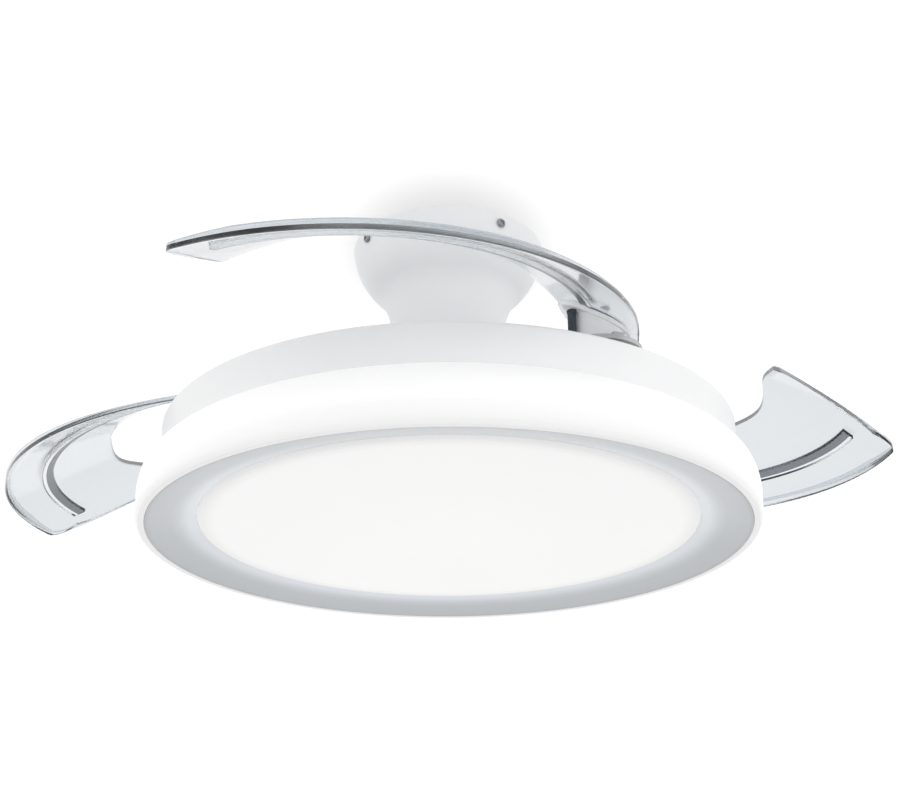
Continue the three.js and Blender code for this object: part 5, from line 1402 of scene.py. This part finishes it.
# ---- Hinges -------------------------------------------------------------------------------------
class FAN_OT_hinge_posts(bpy.types.Operator):
    """Make the posts, caps and return springs that stay on the carrier"""
    bl_idname = "fan.hinge_posts"
    bl_label = "Hinge posts and springs"

    def execute(self, context):
        sizes = context.scene.fan_hinge
        foot = context.scene.fan_motor.disc_top + GAP
        at = (sizes.radius, 0)
        flange, flange_top = sizes.flange_radius, foot + sizes.flange_thickness
        shank, top = sizes.post_radius, sizes.post_top
        post = spun([
            (0, foot), (flange - 0.4 * MM, foot), (flange, foot + 0.4 * MM),
            (flange, flange_top - 0.6 * MM), (flange - 0.6 * MM, flange_top),
            (shank + 0.8 * MM, flange_top), (shank, flange_top + 0.8 * MM),
            (shank, top - 0.6 * MM), (shank - 0.6 * MM, top), (0, top),
        ], 40, closed=False, centre=at)
        low, bore, roof = sizes.hub_top + GAP, shank + GAP, top + GAP
        outer, crown = sizes.cap_radius, sizes.cap_top
        cap = spun([
            (0, roof), (bore, roof), (bore, low), (outer - 0.4 * MM, low),
            (outer, low + 0.4 * MM), (outer, crown - 1.6 * MM),
            (outer - 0.5 * MM, crown - 0.5 * MM), (outer - 1.8 * MM, crown), (4.2 * MM, crown),
            (3.6 * MM, crown - 0.6 * MM), (0, crown - 0.6 * MM),
        ], 56, closed=False, centre=at)
        coil = self.coil(sizes, foot)
        deal(post, stations(), "pivot_post", "rotor", "bright_steel", "turned_steel", "hinge_post")
        deal(cap, stations(), "pivot_cap", "rotor", "white_plastic", "clamp_white_painted_light", "hinge_cap")
        deal(coil, stations(), "coil_spring", "rotor", "spring_steel", "spring_wire",
             "return_spring")
        return {"FINISHED"}

    @staticmethod
    def coil(sizes, foot):
        """Winds one wire round the hub with a screw modifier."""
        rest_selection()
        bpy.ops.mesh.primitive_circle_add(
            vertices=14, radius=sizes.wire_radius, fill_type="NOTHING",
            location=(sizes.coil_radius, 0, foot + sizes.wire_radius), rotation=(math.pi / 2, 0, 0))
        wire = bpy.context.active_object
        bpy.ops.object.transform_apply(location=True, rotation=True, scale=True)
        apply_modifier(
            wire, "SCREW", angle=TURN * sizes.coil_turns, steps=40 * sizes.coil_turns,
            screw_offset=sizes.coil_pitch * sizes.coil_turns, axis="Z", use_merge_vertices=False)
        bpy.ops.object.mode_set(mode="EDIT")
        bpy.ops.mesh.select_all(action="DESELECT")
        bpy.ops.mesh.select_non_manifold()
        bpy.ops.mesh.edge_face_add()
        bpy.ops.mesh.select_all(action="SELECT")
        bpy.ops.mesh.normals_make_consistent(inside=False)
        bpy.ops.object.mode_set(mode="OBJECT")
        return move_to(wire, Matrix.Translation((sizes.radius, 0, 0)))


class FAN_OT_clamps(bpy.types.Operator):
    """Make the hubs, clamps, bolts and stop pins that swing with the blades"""
    bl_idname = "fan.clamps"
    bl_label = "Blade clamps"

    def execute(self, context):
        sizes = context.scene.fan_hinge
        blade = context.scene.fan_blade
        disc_top = context.scene.fan_motor.disc_top
        at = (sizes.radius, 0)
        bolt = beside_hinge(sizes.bolt_distance, sizes.bolt_angle)
        underside = -sizes.clamp_gap - sizes.lower_thickness
        lower = sheet_pad(sizes.lower_clamp, underside, -sizes.clamp_gap, sizes.clamp_ear)
        soften(lower, 0.8 * MM, 3, 50)
        wall = skirt(disc_top + sizes.skirt_bottom, underside + sizes.lower_thickness / 2)
        combine(lower, wall, "UNION")
        hub_low = disc_top + 2 * GAP + sizes.flange_thickness
        bore = sizes.post_radius + 0.4 * MM
        hub = spun(rounded([
            (bore, hub_low), (sizes.hub_radius, hub_low), (sizes.hub_radius, sizes.hub_top),
            (bore, sizes.hub_top),
        ], 0.6 * MM, 3), 56, centre=at)
        core = drill(sizes.hub_radius - 2 * MM, *HINGE_SPAN, at, 40)
        combine(lower, core, "DIFFERENCE")
        combine(lower, hub, "UNION")
        combine(lower, drill(SCREW_HOLE, *HINGE_SPAN, bolt, 24), "DIFFERENCE")
        lift = blade.thickness + sizes.clamp_gap
        upper = sheet_pad(sizes.upper_clamp, lift, lift + sizes.upper_thickness)
        soften(upper, 0.8 * MM, 3, 50)
        combine(upper, drill(sizes.hub_radius + GAP, *HINGE_SPAN, at, 56), "DIFFERENCE")
        combine(upper, drill(SCREW_HOLE, *HINGE_SPAN, bolt, 24), "DIFFERENCE")
        surface = sheet_height(*bolt)
        seat = surface + lift + sizes.upper_thickness + blade.pitch * 4 * MM + GAP
        screw = pan_screw(4 * MM, 2.4 * MM, 2 * MM, seat, surface - sizes.lower_thickness, bolt)
        stop = beside_hinge(sizes.pin_distance, sizes.pin_angle)
        outer = sizes.pin_radius
        waist = outer - 0.5 * MM
        low = disc_top + 1 * MM
        top = sheet_height(stop[0] + outer, stop[1]) - sizes.lower_thickness - sizes.clamp_gap - GAP
        pin = spun([
            (0, low), (waist, low), (outer, low + 0.8 * MM), (outer, low + 6 * MM),
            (waist, low + 6.6 * MM), (waist, top - 2.4 * MM), (outer, top - 1.8 * MM),
            (outer, top - 0.4 * MM), (waist, top), (0, top),
        ], 32, closed=False, centre=stop)
        for pattern, name, slot, look, node in (
                (lower, "lower_clamp", "white_plastic", "clamp_white_painted_light", "blade_hub"),
                (upper, "top_clamp", "white_plastic", "clamp_white_painted_light", "upper_clamp"),
                (screw, "clamp_bolt", "bright_steel", "plated_steel", "clamp_screw"),
                (pin, "bumper_pin", "black_rubber", "soft_rubber", "stop_pin")):
            deal(pattern, swung(), name, "swing_blade_", slot, look, node)
        return {"FINISHED"}


class FAN_OT_blades(bpy.types.Operator):
    """Make the three clear folding blades"""
    bl_idname = "fan.blades"
    bl_label = "Clear blades"

    def execute(self, context):
        hinge = context.scene.fan_hinge
        pattern = blade_mesh()
        for look in BLADE_LOOKS:
            pattern.data.materials.append(finish(look))
        soften(pattern, context.scene.fan_blade.round_edge, 3, 40)
        eye = drill(hinge.hub_radius + GAP, *HINGE_SPAN, (hinge.radius, 0), 56)
        bolt = beside_hinge(hinge.bolt_distance, hinge.bolt_angle)
        combine(pattern, eye, "DIFFERENCE")
        combine(pattern, drill(SCREW_HOLE, *HINGE_SPAN, bolt, 24), "DIFFERENCE")
        pattern.data.validate()
        deal(pattern, swung(), "clear_blade", "swing_blade_", "clear_plastic", None, "blade")
        return {"FINISHED"}


class FAN_OT_inner_pieces(bpy.types.Operator):
    """Give the pieces inside the fan their finishes"""
    bl_idname = "fan.inner_pieces"
    bl_label = "Inner pieces"

    def execute(self, context):
        for look, nodes in INNER_LOOKS.items():
            for node in nodes:
                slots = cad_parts[node].data.materials
                slots.clear()
                slots.append(finish(look))
        return {"FINISHED"}


# ---- Stage --------------------------------------------------------------------------------------
def ceiling_material():
    """A white ceiling with painted shade round the canopy, seen from below, that lets light from
    above pass.
    """
    made = bpy.data.materials.new("ceiling_white")
    tree = emptied(made)
    rays = add(tree, "ShaderNodeLightPath", 0, 0).outputs["Is Camera Ray"]
    back = add(tree, "ShaderNodeNewGeometry", 0, 2).outputs["Backfacing"]
    seen = calculated(
        tree, 2, 0, "MULTIPLY", rays, calculated(tree, 1, 2, "SUBTRACT", 1.0, back))
    # painted shade: the ceiling's glow for camera rays is weaker near the canopy
    shade = mapped(
        tree, 2, 3, from_axis(tree, 0, 3, CEILING_PAINTED_SHADE_STRETCH), *CEILING_PAINTED_SHADE, 1.0,
        interpolation_type="SMOOTHSTEP")
    matt = add(tree, "ShaderNodeBsdfDiffuse", 3, 1, {"Color": (0.1, 0.1, 0.1, 1.0)})
    lift = add(tree, "ShaderNodeEmission", 3, 2, {"Color": WHITE, "Strength": shade})
    both = add(tree, "ShaderNodeAddShader", 4, 1, {0: matt.outputs[0], 1: lift.outputs[0]})
    clear = add(tree, "ShaderNodeBsdfTransparent", 4, 0)
    mixed = add(
        tree, "ShaderNodeMixShader", 5, 0, {0: seen, 1: clear.outputs[0], 2: both.outputs[0]})
    add(tree, "ShaderNodeOutputMaterial", 6, 0, {"Surface": mixed.outputs[0]})
    return made


def plane(name, height, look, face_down=False):
    """A level plane of the stage."""
    rest_selection()
    bpy.ops.mesh.primitive_plane_add(
        size=STAGE_SIZE, location=(0, 0, height), rotation=(math.pi if face_down else 0, 0, 0))
    made = bpy.context.active_object
    bpy.ops.object.transform_apply(location=True, rotation=True, scale=True)
    made.name = name
    made.data.materials.append(look)


def area_lamp(name, place, size, energy):
    """A large soft lamp that looks at the middle of the fan."""
    rest_selection()
    bpy.ops.object.light_add(type="AREA", location=place)
    lamp = bpy.context.active_object
    lamp.name = name
    lamp.data.size = size
    lamp.data.energy = energy
    lamp.visible_glossy = False
    lamp.visible_transmission = False
    away = Vector(LAMP_TARGET) - Vector(place)
    lamp.rotation_euler = away.to_track_quat("-Z", "Y").to_euler()


class FAN_OT_stage(bpy.types.Operator):
    """Make the floor, the ceiling, the lights and the camera"""
    bl_idname = "fan.stage"
    bl_label = "Stage"

    def execute(self, context):
        plane("floor", -CEILING_HEIGHT, finish("floor_pale"))
        plane("ceiling", 0.6 * MM, ceiling_material(), face_down=True)
        for lamp in LAMPS:
            area_lamp(*lamp)
        self.light_world(context.scene)
        bpy.ops.object.camera_add(location=CAMERA_PLACE)
        camera = bpy.context.active_object
        camera.name = "photo_camera"
        camera.data.sensor_width = SENSOR_WIDTH
        camera.data.lens = FOCAL_LENGTH
        upright = Matrix.Rotation(math.pi / 2 + CAMERA_PITCH, 4, "X")
        camera.rotation_euler = (upright @ Matrix.Rotation(CAMERA_ROLL, 4, "Z")).to_euler()
        context.scene.camera = camera
        context.scene.view_settings.view_transform = "Standard"
        return {"FINISHED"}

    @staticmethod
    def light_world(scene):
        """A soft even sky, white where it is looked at or reflected."""
        scene.world = scene.world or bpy.data.worlds.new("soft_room")
        tree = emptied(scene.world)
        rays = add(tree, "ShaderNodeLightPath", 0, 0).outputs
        looked = calculated(
            tree, 1, 0, "MAXIMUM", rays["Is Camera Ray"], rays["Is Glossy Ray"])
        either = calculated(tree, 2, 0, "MAXIMUM", looked, rays["Is Transmission Ray"])
        soft = add(tree, "ShaderNodeBackground", 2, 1, {"Color": WHITE, "Strength": 0.8})
        white = add(tree, "ShaderNodeBackground", 2, 2, {"Color": WHITE, "Strength": 1.0})
        mixed = add(tree, "ShaderNodeMixShader", 3, 0, {
            0: either, 1: soft.outputs[0], 2: white.outputs[0]})
        add(tree, "ShaderNodeOutputWorld", 4, 0, {"Surface": mixed.outputs[0]})


# ---- Panel, registration and the run ------------------------------------------------------------
OPERATORS = (
    FAN_OT_canopy, FAN_OT_canopy_screws, FAN_OT_drum, FAN_OT_glow_ring, FAN_OT_cone,
    FAN_OT_diffuser, FAN_OT_motor, FAN_OT_carrier, FAN_OT_hinge_posts, FAN_OT_clamps,
    FAN_OT_blades, FAN_OT_inner_pieces, FAN_OT_stage,
)
SIZE_GROUPS = {
    "fan_canopy": FanCanopySizes,
    "fan_lamp": FanLampSizes,
    "fan_motor": FanMotorSizes,
    "fan_hinge": FanHingeSizes,
    "fan_blade": FanBladeSizes,
    "fan_colours": FanColours,
}


class FAN_PT_pieces(bpy.types.Panel):
    """Lists the fan's pieces, sizes and colours"""
    bl_label = "Ceiling fan"
    bl_idname = "FAN_PT_pieces"
    bl_space_type = "VIEW_3D"
    bl_region_type = "UI"
    bl_category = "Ceiling fan"

    def draw(self, context):
        for maker in OPERATORS:
            self.layout.operator(maker.bl_idname)
        for key in SIZE_GROUPS:
            box = self.layout.box()
            group = getattr(context.scene, key)
            for name in group.bl_rna.properties.keys():
                if name not in ("rna_type", "name"):
                    box.prop(group, name)


def register():
    """Registers the add-on's classes and its settings on the scene."""
    for made in (*SIZE_GROUPS.values(), *OPERATORS, FAN_PT_pieces):
        bpy.utils.register_class(made)
    for key, group in SIZE_GROUPS.items():
        setattr(bpy.types.Scene, key, bpy.props.PointerProperty(type=group))


def unregister():
    """Takes the add-on's settings and classes away again."""
    for key in SIZE_GROUPS:
        delattr(bpy.types.Scene, key)
    for made in (FAN_PT_pieces, *reversed(OPERATORS), *SIZE_GROUPS.values()):
        bpy.utils.unregister_class(made)


def main():
    """Makes every piece in order."""
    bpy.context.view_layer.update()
    register()
    for maker in OPERATORS:
        getattr(bpy.ops.fan, maker.bl_idname.partition(".")[2])()


if __name__ == "__main__":
    main()
